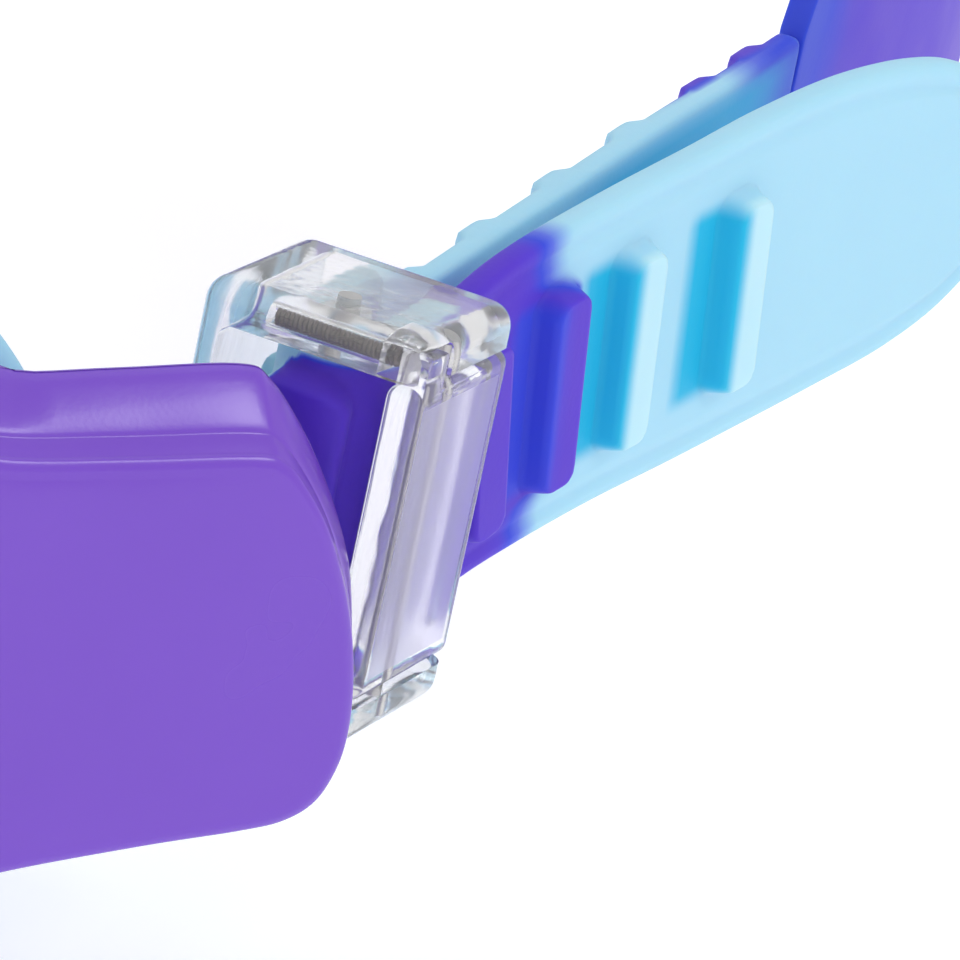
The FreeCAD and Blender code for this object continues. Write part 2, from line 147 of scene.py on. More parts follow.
# %% [markdown]
# The camera is a long lens close to one side buckle. Its three directions are written out, because it is
# turned a little about its own line of sight.

# %% Camera
lens_data = bpy.data.cameras.new("camera")
lens_data.lens = 270.9
lens_data.sensor_width = 36.0
lens_data.clip_start = 0.01
lens_data.clip_end = 20.0
camera = bpy.data.objects.new("camera", lens_data)
scene.collection.objects.link(camera)
right = Vector((0.889, 0.4117, 0.2006)).normalized()
backward = Vector((0.3377, -0.8851, 0.3202))
backward = (backward - right * backward.dot(right)).normalized()
upward = backward.cross(right)
for row in range(3):
    camera.matrix_world[row][0] = right[row]
    camera.matrix_world[row][1] = upward[row]
    camera.matrix_world[row][2] = backward[row]
camera.matrix_world.translation = Vector((0.192221, -0.367917, 0.144557))
scene.camera = camera
print("camera at", [round(v, 4) for v in camera.matrix_world.translation])

# %% [markdown]
# Every finish starts in the same way, as a material with one shader.

# %% New finishes


def new_finish(name, label):
    """Material with its nodes, links and labelled shader."""
    material = bpy.data.materials.new(name)
    material.use_nodes = True
    nodes, links = material.node_tree.nodes, material.node_tree.links
    shader = nodes["Principled BSDF"]
    shader.label = label
    shader.location = (300, 0)
    nodes["Material Output"].location = (600, 0)
    return material, nodes, links, shader


print("finishes so far", [material.name for material in bpy.data.materials])

# %% [markdown]
# The frame is one gloss moulding in violet plastic. Gloss mouldings are never perfectly even: the colour is
# slightly cloudy, the surface has a very fine grain and a slow wave that bends reflections a little. Light
# goes a short way into it, so it gets a little subsurface scattering and a clear coat for the polish.

# %% Frame plastic


def moulded_plastic(name, colour, cloud_colour, roughness, grain, wave, scatter):
    """Solid moulded plastic with cloudy colour, fine grain and a slow surface wave."""
    material, nodes, links, shader = new_finish(name, "moulded plastic")

    colour_frame = nodes.new("NodeFrame")
    colour_frame.label = "cloudy colour"
    surface_frame = nodes.new("NodeFrame")
    surface_frame.label = "grain and wave"

    place = nodes.new("ShaderNodeTexCoord")
    place.label = "place on the piece"
    place.location = (-1200, -100)
    clouds = nodes.new("ShaderNodeTexNoise")
    clouds.label = "slow colour clouds"
    clouds.location = (-900, 200)
    clouds.parent = colour_frame
    clouds.inputs["Scale"].default_value = 70.0
    clouds.inputs["Detail"].default_value = 3.0
    cloud_mix = nodes.new("ShaderNodeMix")
    cloud_mix.label = "base to cloud colour"
    cloud_mix.location = (-600, 200)
    cloud_mix.parent = colour_frame
    cloud_mix.data_type = "RGBA"
    cloud_mix.inputs[6].default_value = (*colour, 1)
    cloud_mix.inputs[7].default_value = (*cloud_colour, 1)
    links.new(place.outputs["Object"], clouds.inputs["Vector"])
    links.new(clouds.outputs["Fac"], cloud_mix.inputs[0])
    links.new(cloud_mix.outputs[2], shader.inputs["Base Color"])

    gloss = nodes.new("ShaderNodeMapRange")
    gloss.label = "uneven polish"
    gloss.location = (-600, -40)
    gloss.parent = surface_frame
    gloss.inputs["To Min"].default_value = roughness * 0.8
    gloss.inputs["To Max"].default_value = roughness * 1.3
    links.new(clouds.outputs["Fac"], gloss.inputs["Value"])
    links.new(gloss.outputs["Result"], shader.inputs["Roughness"])

    fine = nodes.new("ShaderNodeTexNoise")
    fine.label = "fine moulding grain"
    fine.location = (-900, -300)
    fine.parent = surface_frame
    fine.inputs["Scale"].default_value = 3500.0
    fine.inputs["Detail"].default_value = 2.0
    fine_bump = nodes.new("ShaderNodeBump")
    fine_bump.label = "grain height"
    fine_bump.location = (-600, -300)
    fine_bump.parent = surface_frame
    fine_bump.inputs["Strength"].default_value = 0.5
    fine_bump.inputs["Distance"].default_value = grain
    slow = nodes.new("ShaderNodeTexNoise")
    slow.label = "slow moulding wave"
    slow.location = (-900, -600)
    slow.parent = surface_frame
    slow.inputs["Scale"].default_value = 140.0
    slow.inputs["Detail"].default_value = 1.0
    slow_bump = nodes.new("ShaderNodeBump")
    slow_bump.label = "wave height"
    slow_bump.location = (-300, -400)
    slow_bump.parent = surface_frame
    slow_bump.inputs["Strength"].default_value = 0.5
    slow_bump.inputs["Distance"].default_value = wave
    links.new(place.outputs["Object"], fine.inputs["Vector"])
    links.new(place.outputs["Object"], slow.inputs["Vector"])
    links.new(fine.outputs["Fac"], fine_bump.inputs["Height"])
    links.new(slow.outputs["Fac"], slow_bump.inputs["Height"])
    links.new(fine_bump.outputs["Normal"], slow_bump.inputs["Normal"])
    links.new(slow_bump.outputs["Normal"], shader.inputs["Normal"])

    shader.inputs["IOR"].default_value = 1.49
    shader.inputs["Subsurface Weight"].default_value = scatter
    shader.inputs["Subsurface Radius"].default_value = (0.6, 0.3, 1.0)
    shader.inputs["Subsurface Scale"].default_value = 0.0012
    shader.inputs["Coat Weight"].default_value = 0.15
    shader.inputs["Coat Roughness"].default_value = 0.12
    return material


frame_plastic = moulded_plastic(
    "violet_frame_plastic", (0.162, 0.05, 0.535), (0.185, 0.063, 0.585), 0.24, 0.00001, 0.00006, 0.2
)
retainer_plastic = moulded_plastic(
    "dark_retainer_plastic", (0.13, 0.07, 0.42), (0.16, 0.09, 0.48), 0.45, 0.00002, 0.00003, 0.1
)
print("plastics", frame_plastic.name, retainer_plastic.name)

# %% [markdown]
# Clear polycarbonate bends what is behind it. It needs real thickness, a refractive index and a trace of
# tint. Injection-moulded clear parts also show flow lines, a slow waviness that makes the bright and dark
# streaks inside the walls, so the surface gets a stretched bump.

# %% Clear plastic


def clear_plastic(name, tint, clearness, roughness, flow_height, ior):
    """Clear moulded plastic with flow lines in its surface."""
    material, nodes, links, shader = new_finish(name, "clear plastic")
    flow_frame = nodes.new("NodeFrame")
    flow_frame.label = "flow lines"

    place = nodes.new("ShaderNodeTexCoord")
    place.label = "place on the piece"
    place.location = (-1100, 0)
    stretch = nodes.new("ShaderNodeMapping")
    stretch.label = "stretch along the flow"
    stretch.location = (-900, 0)
    stretch.parent = flow_frame
    stretch.inputs["Scale"].default_value = (1.0, 1.0, 0.35)
    flow = nodes.new("ShaderNodeTexNoise")
    flow.label = "flow of the melt"
    flow.location = (-650, 0)
    flow.parent = flow_frame
    flow.inputs["Scale"].default_value = 420.0
    flow.inputs["Detail"].default_value = 2.5
    bump = nodes.new("ShaderNodeBump")
    bump.label = "flow line height"
    bump.location = (-350, -100)
    bump.parent = flow_frame
    bump.inputs["Strength"].default_value = 0.6
    bump.inputs["Distance"].default_value = flow_height
    haze = nodes.new("ShaderNodeMapRange")
    haze.label = "faint haze"
    haze.location = (-350, 150)
    haze.parent = flow_frame
    haze.inputs["To Min"].default_value = roughness
    haze.inputs["To Max"].default_value = roughness * 2.0
    links.new(place.outputs["Object"], stretch.inputs["Vector"])
    links.new(stretch.outputs["Vector"], flow.inputs["Vector"])
    links.new(flow.outputs["Fac"], bump.inputs["Height"])
    links.new(flow.outputs["Fac"], haze.inputs["Value"])
    links.new(haze.outputs["Result"], shader.inputs["Roughness"])
    links.new(bump.outputs["Normal"], shader.inputs["Normal"])

    shader.inputs["Base Color"].default_value = (*tint, 1)
    shader.inputs["Transmission Weight"].default_value = clearness
    shader.inputs["IOR"].default_value = ior
    return material


buckle_plastic = clear_plastic("clear_buckle_plastic", (1.0, 1.0, 1.0), 0.92, 0.06, 0.00009, 1.33)
lever_plastic = clear_plastic("frosted_lever_plastic", (0.80, 0.78, 0.98), 0.72, 0.3, 0.00009, 1.33)
roller_plastic = clear_plastic("clear_roller_plastic", (0.93, 0.94, 0.97), 0.9, 0.08, 0.00003, 1.4)
lens_plastic = clear_plastic("blue_lens_plastic", (0.45, 0.72, 0.86), 1.0, 0.02, 0.000008, 1.5)
print("clear plastics ready")

# %% [markdown]
# The strap is translucent silicone that is dyed in a fade: purple, then a short stretch of strong blue, then
# pale blue. The pieces carry the dye as an attribute, fade, that runs from 0 in the purple to 1 in the pale
# blue, and a second attribute of painted shade, where teal is painted in front of a rib and in shaded strips.

# %% Silicone


def dyed_silicone(name):
    """Soft translucent silicone, coloured by its dye fade and by teal painted shade from the attributes of the
    piece.
    """
    material, nodes, links, shader = new_finish(name, "soft silicone")
    dye_frame = nodes.new("NodeFrame")
    dye_frame.label = "dye"
    skin_frame = nodes.new("NodeFrame")
    skin_frame.label = "soft skin"

    fade = nodes.new("ShaderNodeAttribute")
    fade.label = "dye fade"
    fade.location = (-1300, 300)
    fade.parent = dye_frame
    fade.attribute_name = "fade"
    place = nodes.new("ShaderNodeTexCoord")
    place.label = "place on the strap"
    place.location = (-1500, 0)
    drift = nodes.new("ShaderNodeTexNoise")
    drift.label = "uneven dye edge"
    drift.location = (-1300, 0)
    drift.parent = dye_frame
    drift.inputs["Scale"].default_value = 160.0
    drift.inputs["Detail"].default_value = 3.0
    drift_size = nodes.new("ShaderNodeMath")
    drift_size.label = "how far the dye wanders"
    drift_size.location = (-1100, 0)
    drift_size.parent = dye_frame
    drift_size.operation = "MULTIPLY_ADD"
    drift_size.inputs[1].default_value = 0.12
    drift_size.inputs[2].default_value = -0.06
    drifted = nodes.new("ShaderNodeMath")
    drifted.label = "fade with its uneven edge"
    drifted.location = (-900, 200)
    drifted.parent = dye_frame
    drifted.operation = "ADD"
    links.new(place.outputs["Object"], drift.inputs["Vector"])
    links.new(drift.outputs["Fac"], drift_size.inputs[0])
    links.new(fade.outputs["Fac"], drifted.inputs[0])
    links.new(drift_size.outputs["Value"], drifted.inputs[1])

    dye = nodes.new("ShaderNodeValToRGB")
    dye.label = "purple to pale blue"
    dye.location = (-700, 200)
    dye.parent = dye_frame
    # Fade near 1 is reached only on the tail's rib tops, where the palest blue is a painted highlight.
    stops = (
        (0.0, (0.095, 0.034, 0.58)), (0.2, (0.085, 0.042, 0.61)), (0.38, (0.035, 0.065, 0.68)),
        (0.52, (0.10, 0.15, 0.72)), (0.66, (0.22, 0.38, 0.78)), (0.8, (0.38, 0.68, 0.85)),
        (0.9, (0.40, 0.71, 0.87)), (1.0, (0.50, 0.78, 0.89)),
    )
    ramp = dye.color_ramp
    ramp.elements[0].position = stops[0][0]
    ramp.elements[0].color = (*stops[0][1], 1)
    ramp.elements[1].position = stops[-1][0]
    ramp.elements[1].color = (*stops[-1][1], 1)
    for position, colour in stops[1:-1]:
        element = ramp.elements.new(position)
        element.color = (*colour, 1)
    links.new(drifted.outputs["Value"], dye.inputs["Fac"])

    # Painted shade: teal is mixed over the dye where the piece's shade attribute is set, in place of the shade
    # in front of ribs.
    pool = nodes.new("ShaderNodeAttribute")
    pool.label = "painted shade amount"
    pool.location = (-700, -100)
    pool.parent = dye_frame
    pool.attribute_name = "pool"
    painted_shade_mix = nodes.new("ShaderNodeMix")
    painted_shade_mix.label = "teal painted shade"
    painted_shade_mix.location = (-350, 150)
    painted_shade_mix.parent = dye_frame
    painted_shade_mix.data_type = "RGBA"
    painted_shade_mix.inputs[7].default_value = (0.012, 0.46, 0.74, 1)
    links.new(pool.outputs["Fac"], painted_shade_mix.inputs[0])
    links.new(dye.outputs["Color"], painted_shade_mix.inputs[6])
    links.new(painted_shade_mix.outputs[2], shader.inputs["Base Color"])

    skin = nodes.new("ShaderNodeTexNoise")
    skin.label = "matt skin of the mould"
    skin.location = (-700, -400)
    skin.parent = skin_frame
    skin.inputs["Scale"].default_value = 2600.0
    skin.inputs["Detail"].default_value = 3.0
    skin_bump = nodes.new("ShaderNodeBump")
    skin_bump.label = "skin height"
    skin_bump.location = (-350, -400)
    skin_bump.parent = skin_frame
    skin_bump.inputs["Strength"].default_value = 0.5
    skin_bump.inputs["Distance"].default_value = 0.00002
    skin_gloss = nodes.new("ShaderNodeMapRange")
    skin_gloss.label = "uneven sheen"
    skin_gloss.location = (-350, -150)
    skin_gloss.parent = skin_frame
    skin_gloss.inputs["To Min"].default_value = 0.42
    skin_gloss.inputs["To Max"].default_value = 0.62
    links.new(place.outputs["Object"], skin.inputs["Vector"])
    links.new(skin.outputs["Fac"], skin_bump.inputs["Height"])
    links.new(drift.outputs["Fac"], skin_gloss.inputs["Value"])
    links.new(skin_gloss.outputs["Result"], shader.inputs["Roughness"])
    links.new(skin_bump.outputs["Normal"], shader.inputs["Normal"])

    shader.inputs["IOR"].default_value = 1.41
    shader.inputs["Subsurface Weight"].default_value = 0.35
    shader.inputs["Subsurface Radius"].default_value = (0.4, 0.8, 1.0)
    shader.inputs["Subsurface Scale"].default_value = 0.0015
    shader.inputs["Specular IOR Level"].default_value = 0.32
    shader.inputs["Sheen Weight"].default_value = 0.03
    shader.inputs["Sheen Roughness"].default_value = 0.4
    return material


silicone = dyed_silicone("dyed_silicone")
print("silicone ready")

# %% [markdown]
# The pins and springs are drawn steel wire: a metal with fine lines round it and a slight haze. The pins are
# bright, and the springs are near black.

# %% Steel


def drawn_wire(name, colour):
    """Steel wire with the fine lines that drawing leaves round it."""
    material, nodes, links, shader = new_finish(name, "stainless wire")
    line_frame = nodes.new("NodeFrame")
    line_frame.label = "lines of the wire"

    place = nodes.new("ShaderNodeTexCoord")
    place.label = "place on the pin"
    place.location = (-900, 0)
    stretch = nodes.new("ShaderNodeMapping")
    stretch.label = "rings round the pin"
    stretch.location = (-700, 0)
    stretch.parent = line_frame
    stretch.inputs["Scale"].default_value = (0.2, 0.2, 4.0)
    lines = nodes.new("ShaderNodeTexNoise")
    lines.label = "drawing lines"
    lines.location = (-450, 0)
    lines.parent = line_frame
    lines.inputs["Scale"].default_value = 2500.0
    haze = nodes.new("ShaderNodeMapRange")
    haze.label = "haze of the lines"
    haze.location = (-200, 0)
    haze.parent = line_frame
    haze.inputs["To Min"].default_value = 0.18
    haze.inputs["To Max"].default_value = 0.42
    links.new(place.outputs["Object"], stretch.inputs["Vector"])
    links.new(stretch.outputs["Vector"], lines.inputs["Vector"])
    links.new(lines.outputs["Fac"], haze.inputs["Value"])
    links.new(haze.outputs["Result"], shader.inputs["Roughness"])

    shader.inputs["Base Color"].default_value = (*colour, 1)
    shader.inputs["Metallic"].default_value = 1.0
    return material


steel = drawn_wire("drawn_steel", (0.56, 0.55, 0.54))
dark_steel = drawn_wire("dark_spring_steel", (0.09, 0.072, 0.062))
print("steel ready")

# %% [markdown]
# Most pieces here are long curved skins. Each starts as a flat grid, like a sheet of graph paper. Its points
# are moved one by one to their places on the piece, then the edges that meet are merged, and the faces are
# made to point outwards. Columns run along the piece and rows run round its section.

# %% Grid to skin


def select_only(piece):
    bpy.ops.object.select_all(action="DESELECT")
    piece.select_set(True)
    bpy.context.view_layer.objects.active = piece


def tidy_skin(piece):
    """Merge points that lie together and turn all faces outwards."""
    select_only(piece)
    bpy.ops.object.mode_set(mode="EDIT")
    bpy.ops.mesh.select_all(action="SELECT")
    bpy.ops.mesh.remove_doubles(threshold=0.000002)
    bpy.ops.mesh.dissolve_degenerate(threshold=0.000001)
    bpy.ops.mesh.select_all(action="SELECT")
    bpy.ops.mesh.normals_make_consistent(inside=False)
    bpy.ops.object.mode_set(mode="OBJECT")


def skin_from_grid(name, columns, rows, place):
    """Add a grid, move each point to place(column, row), and merge the edges that meet."""
    bpy.ops.object.select_all(action="DESELECT")
    bpy.ops.mesh.primitive_grid_add(x_subdivisions=columns, y_subdivisions=rows, size=1.0, location=(0, 0, 0))
    piece = bpy.context.object
    piece.name = name
    piece.data.name = name
    for vertex in piece.data.vertices:
        column = round((vertex.co.x + 0.5) * columns)
        row = round((vertex.co.y + 0.5) * rows)
        vertex.co = place(column, row)
    tidy_skin(piece)
    return piece


def no_face_selected():
    """Leave the active piece in object mode, ready for its faces to be picked one by one."""
    bpy.ops.object.mode_set(mode="EDIT")
    bpy.ops.mesh.select_mode(type="FACE")
    bpy.ops.mesh.select_all(action="DESELECT")
    bpy.ops.object.mode_set(mode="OBJECT")


def coat(piece, material, angle):
    """Give a piece its material, and smooth shading over edges flatter than the angle."""
    piece.data.materials.append(material)
    select_only(piece)
    bpy.ops.object.shade_smooth_by_angle(angle=math.radians(angle))


print("tools for skins ready")

# %% [markdown]
# The frame is drawn unrolled: s is the distance from the middle along the front face and round the bend to
# the tip of the side wing, z is the height, and depth goes in from the face. Two outlines give its form: the
# edge of the outer face, and the larger flange behind it. Between them lies the moulded shoulder.

# %% Outlines of the frame
BEND_START, BEND_RADIUS, WING_ANGLE = 46.0, 16.0, math.radians(50)
WING_START = BEND_START + BEND_RADIUS * WING_ANGLE
WING_TIP_X, WING_TIP_Y = 62.0, 23.3  # past this X, nothing of the wing goes further back than this Y
FRAME_DEEP, WING_THICK = 9.0, 4.0
LENS_X, LENS_Z = 32.5, 21.0
LENS_SQUARENESS = 2.6

face_edge = [
    (0, 28.2), (3.5, 28.3), (6.8, 29.6), (9.3, 32.6), (13, 36.2), (18.5, 38.7), (25, 39.8), (32.5, 40),
    (40, 39.7), (46, 38), (50.5, 35.8), (54.5, 33.6), (59, 32.5), (65.8, 32.7), (72.5, 33.1), (74.2, 32.75),
    (75.5, 31.6), (77.2, 29.4), (78.7, 26.5), (79.7, 23.8), (80.3, 21.3), (80.56, 19), (80.4, 17), (79.6, 15.1),
    (78.1, 14), (75.8, 13.4), (70.6, 12.5), (63.3, 11), (58, 9.4), (54, 7.2), (50, 4.9), (46, 3.4), (40, 2.2),
    (32.5, 2), (25, 2.2), (18.5, 3.3), (13, 5.8), (9.3, 9.4), (6.9, 13.6), (5.2, 17.2), (3, 18.5), (0, 18.8),
]
flange_edge = [
    (0, 29.9), (2.6, 30.1), (5.2, 31.6), (7.6, 34.6), (11.6, 38.3), (17.6, 40.8), (24.6, 41.9), (32.5, 42),
    (40.4, 41.6), (47, 40), (51.5, 38.1), (55.2, 36.6), (59.8, 35.7), (65.8, 36.1), (72.1, 36.6), (74, 35.9),
    (76.4, 33.2), (78.5, 30), (80.1, 26.8), (80.8, 24.2), (81.1, 21.7), (81.2, 19), (80.9, 16.2), (79.9, 14),
    (78.2, 12.8), (75.8, 12.4), (70.6, 11.5), (63.3, 10.0), (57.6, 7.8), (53.6, 5), (50, 2.7), (46.2, 1.3),
    (40.4, 0.3), (32.5, 0), (24.6, 0.2), (17.6, 1.2), (11.6, 3.7), (7.6, 7.7), (5.3, 12.2), (3.4, 15.8),
    (2, 16.9), (0, 17.1),
]


def on_outline(outline, position):
    """Point on a smooth line through the outline's corners, at a corner number with a fraction."""
    k = min(int(position), len(outline) - 2)
    t = position - k
    p0, p1, p2, p3 = (Vector(outline[min(max(i, 0), len(outline) - 1)]) for i in (k - 1, k, k + 1, k + 2))
    return 0.5 * (
        2 * p1 + (p2 - p0) * t + (2 * p0 - 5 * p1 + 4 * p2 - p3) * t * t + (3 * p1 - p0 - 3 * p2 + p3) * t**3
    )


def unrolled(s, z, depth):
    """Place of a point of the unrolled frame, after the bend is put back."""
    if s <= BEND_START:
        x, y = s, depth
    else:
        turn = min((s - BEND_START) / BEND_RADIUS, WING_ANGLE)
        x = BEND_START + (BEND_RADIUS - depth) * math.sin(turn)
        y = BEND_RADIUS - (BEND_RADIUS - depth) * math.cos(turn)
        if s > WING_START:
            x += (s - WING_START) * math.cos(WING_ANGLE)
            y += (s - WING_START) * math.sin(WING_ANGLE)
    if x > WING_TIP_X:
        y = min(y, WING_TIP_Y)
    return at(x, y, z)


def back_depth(s):
    """Depth of the frame's back: a flat plane behind the rims, a thin plate on the wing."""
    if s <= BEND_START:
        return FRAME_DEEP
    turn = min((s - BEND_START) / BEND_RADIUS, WING_ANGLE)
    if s <= WING_START:
        return max(WING_THICK, BEND_RADIUS - (BEND_RADIUS - FRAME_DEEP) / math.cos(turn))
    face_y = BEND_RADIUS * (1 - math.cos(WING_ANGLE)) + (s - WING_START) * math.sin(WING_ANGLE)
    return max(WING_THICK, (FRAME_DEEP - face_y) / math.cos(WING_ANGLE))


def lens_loop(angle, half_x, half_z):
    """Point of the rounded lens opening in a direction from the lens's middle."""
    c, s = math.cos(angle), math.sin(angle)
    spread = abs(c / half_x) ** LENS_SQUARENESS + abs(s / half_z) ** LENS_SQUARENESS
    reach = spread ** (-1 / LENS_SQUARENESS)
    return Vector((LENS_X + reach * c, LENS_Z + reach * s))


print("face outline", len(face_edge), "corners, flange outline", len(flange_edge), "corners")

# %% [markdown]
# The frame's section is walked once round: out over the back, over the flange, down the shoulder in its
# bands, across the face, and in through the lens opening with its bevel and the seat that the lens sits in.
# A seat station has its half width, half height and depth, and a back or face station its share of the way.
# An edge station has its share of the way between the two outlines, its inset, and its depth: a number, or
# the line that it is measured from and how far. Radiused edges have three or more stations close together,
# because these catch the thin bright lines that make a moulding look crisp.

# %% Section of the frame
OUTLINE_STEPS = 246
CUT_STEPS = 10
SHOULDER, SHOULDER_ROUND, SHOULDER_STEP = 4.1, 0.56, 1.5
FACE_ROWS = 20
SEAT_HALF = (21.6, 14.6)
OPENING_HALF = (21.3, 14.3)

stations = [("seat", *SEAT_HALF, "back")]
stations += [("back", i / 5) for i in range(1, 5)]
stations += [
    ("edge", 1.0, 0.50, "back", 0.0), ("edge", 1.0, 0.15, "back", 0.15), ("edge", 1.0, 0.0, "back", 0.5),
    ("edge", 1.0, 0.0, "rim", 0.5), ("edge", 1.0, 0.0, "shoulder", 0.0), ("edge", 0.97, 0.0, "shoulder", 0.28),
    ("edge", 0.90, 0.0, "shoulder", SHOULDER_ROUND), ("edge", 0.80, 0.0, 3.14, 0), ("edge", 0.68, 0.0, 2.72, 0),
    ("edge", 0.56, 0.0, 2.30, 0), ("edge", 0.45, 0.0, 1.96, 0), ("edge", 0.36, 0.0, 1.68, 0),
    ("edge", 0.30, 0.0, 1.52, 0), ("edge", 0.265, 0.0, 1.45, 0), ("edge", 0.24, 0.0, 1.42, 0),
    ("edge", 0.225, 0.0, 1.395, 0), ("edge", 0.21, 0.0, 1.35, 0), ("edge", 0.19, 0.0, 1.27, 0),
    ("edge", 0.13, 0.0, 1.05, 0), ("edge", 0.07, 0.0, 0.84, 0), ("edge", 0.02, 0.0, 0.69, 0),
    ("edge", 0.0, 0.0, 0.62, 0), ("edge", 0.0, 0.03, 0.54, 0), ("edge", 0.0, 0.09, 0.47, 0),
    ("edge", 0.0, 0.20, 0.405, 0), ("edge", 0.0, 0.34, 0.33, 0), ("edge", 0.0, 0.49, 0.285, 0),
    ("edge", 0.0, 0.62, 0.262, 0), ("edge", 0.0, 0.9, 0.25, 0),
]
stations += [("face", i / FACE_ROWS) for i in range(1, FACE_ROWS)]
stations += [
    ("seat", *OPENING_HALF, 0.0), ("seat", 21.0, 14.0, 0.06), ("seat", 20.8, 13.8, 0.22),
    ("seat", 20.3, 13.3, 0.85), ("seat", 20.1, 13.1, 1.1), ("seat", 20.0, 13.0, 1.35),
    ("seat", 20.0, 13.0, 2.0), ("seat", 20.8, 13.8, 2.0), ("seat", *SEAT_HALF, 2.0),
    ("seat", *SEAT_HALF, 5.0), ("seat", *SEAT_HALF, "back"),
]


def outline_point(share, inset, position):
    """Point between the face edge (share 0) and the flange edge (share 1), moved in by inset."""
    here = on_outline(face_edge, position).lerp(on_outline(flange_edge, position), share)
    low, high = max(0.0, position - 0.05), min(len(face_edge) - 1.0, position + 0.05)
    run = on_outline(face_edge, high) - on_outline(face_edge, low)
    inward = Vector((-run.y, run.x)).normalized() * -1
    if here.x < 0.01:
        inward = Vector((0, -1 if here.y > LENS_Z else 1))
    return here + inward * inset


def edge_point(column, share, inset):
    """The same, for a column: the outline first, then the straight cut in the goggles' middle."""
    if column <= OUTLINE_STEPS:
        return outline_point(share, inset, (len(face_edge) - 1) * column / OUTLINE_STEPS)
    start = outline_point(share, inset, len(face_edge) - 1.0)
    end = outline_point(share, inset, 0.0)
    return start.lerp(end, (column - OUTLINE_STEPS) / CUT_STEPS)


def frame_place(column, row):
    """Point of the frame's skin: the column goes round the outline and the row along the section."""
    station = stations[row]
    rim = edge_point(column, 0.0, 0.9)
    angle = math.atan2(rim.y - LENS_Z, rim.x - LENS_X)
    if station[0] == "seat":
        point = lens_loop(angle, station[1], station[2])
        depth = FRAME_DEEP if station[3] == "back" else station[3]
    elif station[0] == "back":
        outer = edge_point(column, 1.0, 0.5)
        point = lens_loop(angle, *SEAT_HALF).lerp(outer, station[1])
        depth = back_depth(point.x)
    elif station[0] == "face":
        point = rim.lerp(lens_loop(angle, *OPENING_HALF), station[1])
        depth = 0.25 * (1 - station[1]) ** 3
    else:
        point = edge_point(column, station[1], station[2])
        back = back_depth(point.x)
        shoulder = min(SHOULDER, back - 0.35)
        if station[3] == "back":
            depth = back - station[4]
        elif station[3] == "rim":
            depth = (back - 0.5 + shoulder) / 2
        elif station[3] == "shoulder":
            depth = shoulder - station[4]
        else:
            depth = station[3]
            if depth > SHOULDER_STEP:
                room, full_room = (top - SHOULDER_ROUND - SHOULDER_STEP for top in (shoulder, SHOULDER))
                depth = SHOULDER_STEP + (depth - SHOULDER_STEP) * room / full_room
    return unrolled(point.x, point.y, depth)


print("section of the frame", len(stations), "stations")

# %% [markdown]
# One half is made from the grid. Its faces on the middle plane are deleted, so that the mirror modifier can
# join the two halves into one skin.

# %% Frame
goggle_frame = skin_from_grid("goggle_frame", OUTLINE_STEPS + CUT_STEPS, len(stations) - 1, frame_place)
no_face_selected()
for face in goggle_frame.data.polygons:
    face.select = all(abs(goggle_frame.data.vertices[v].co.x) < 0.000005 for v in face.vertices)
bpy.ops.object.mode_set(mode="EDIT")
bpy.ops.mesh.delete(type="FACE")
bpy.ops.object.mode_set(mode="OBJECT")
halves = goggle_frame.modifiers.new("both halves", "MIRROR")
halves.merge_threshold = 0.00001
bpy.ops.object.modifier_apply(modifier="both halves")
tidy_skin(goggle_frame)
print("frame faces", len(goggle_frame.data.polygons))

# %% [markdown]
# The hard parts of the buckles, and the ears that hold them, are boxes and bars with bevelled edges.

# %% Boxes and bars


def rounded_box(middle, size, radius, segments, turn=0.0):
    """Box about a middle in millimetres, turned about Z, with all its edges bevelled."""
    bpy.ops.object.select_all(action="DESELECT")
    bpy.ops.mesh.primitive_cube_add(size=1.0, location=at(*middle))
    box = bpy.context.object
    box.scale = [length * MM for length in size]
    box.rotation_euler = (0, 0, turn)
    bpy.ops.object.transform_apply(location=True, rotation=True, scale=True)
    bpy.ops.object.mode_set(mode="EDIT")
    bpy.ops.mesh.select_all(action="SELECT")
    bpy.ops.mesh.bevel(offset=radius * MM, segments=segments, affect="EDGES")
    bpy.ops.object.mode_set(mode="OBJECT")
    return box


def bar(middle, radius, length, corners=48, turn=(0, 0, 0)):
    """Cylinder about a middle in millimetres, upright unless it is turned."""
    bpy.ops.object.select_all(action="DESELECT")
    bpy.ops.mesh.primitive_cylinder_add(
        vertices=corners, radius=radius * MM, depth=length * MM, location=at(*middle), rotation=turn
    )
    cylinder = bpy.context.object
    bpy.ops.object.transform_apply(location=True, rotation=True, scale=True)
    return cylinder


print("tools for boxes and bars ready")

# %% [markdown]
# Each wing holds the buckle's pin in two small ears, one above the other. An ear is a bevelled bar with a
# shallow round recess in its ends, and a web joins it to the wing.

# %% Pin ears of the frame
EAR_HEIGHTS = ((15.6, 19.7), (29.6, 33.2))
PIN_X, PIN_Y = 59.5, 20.3


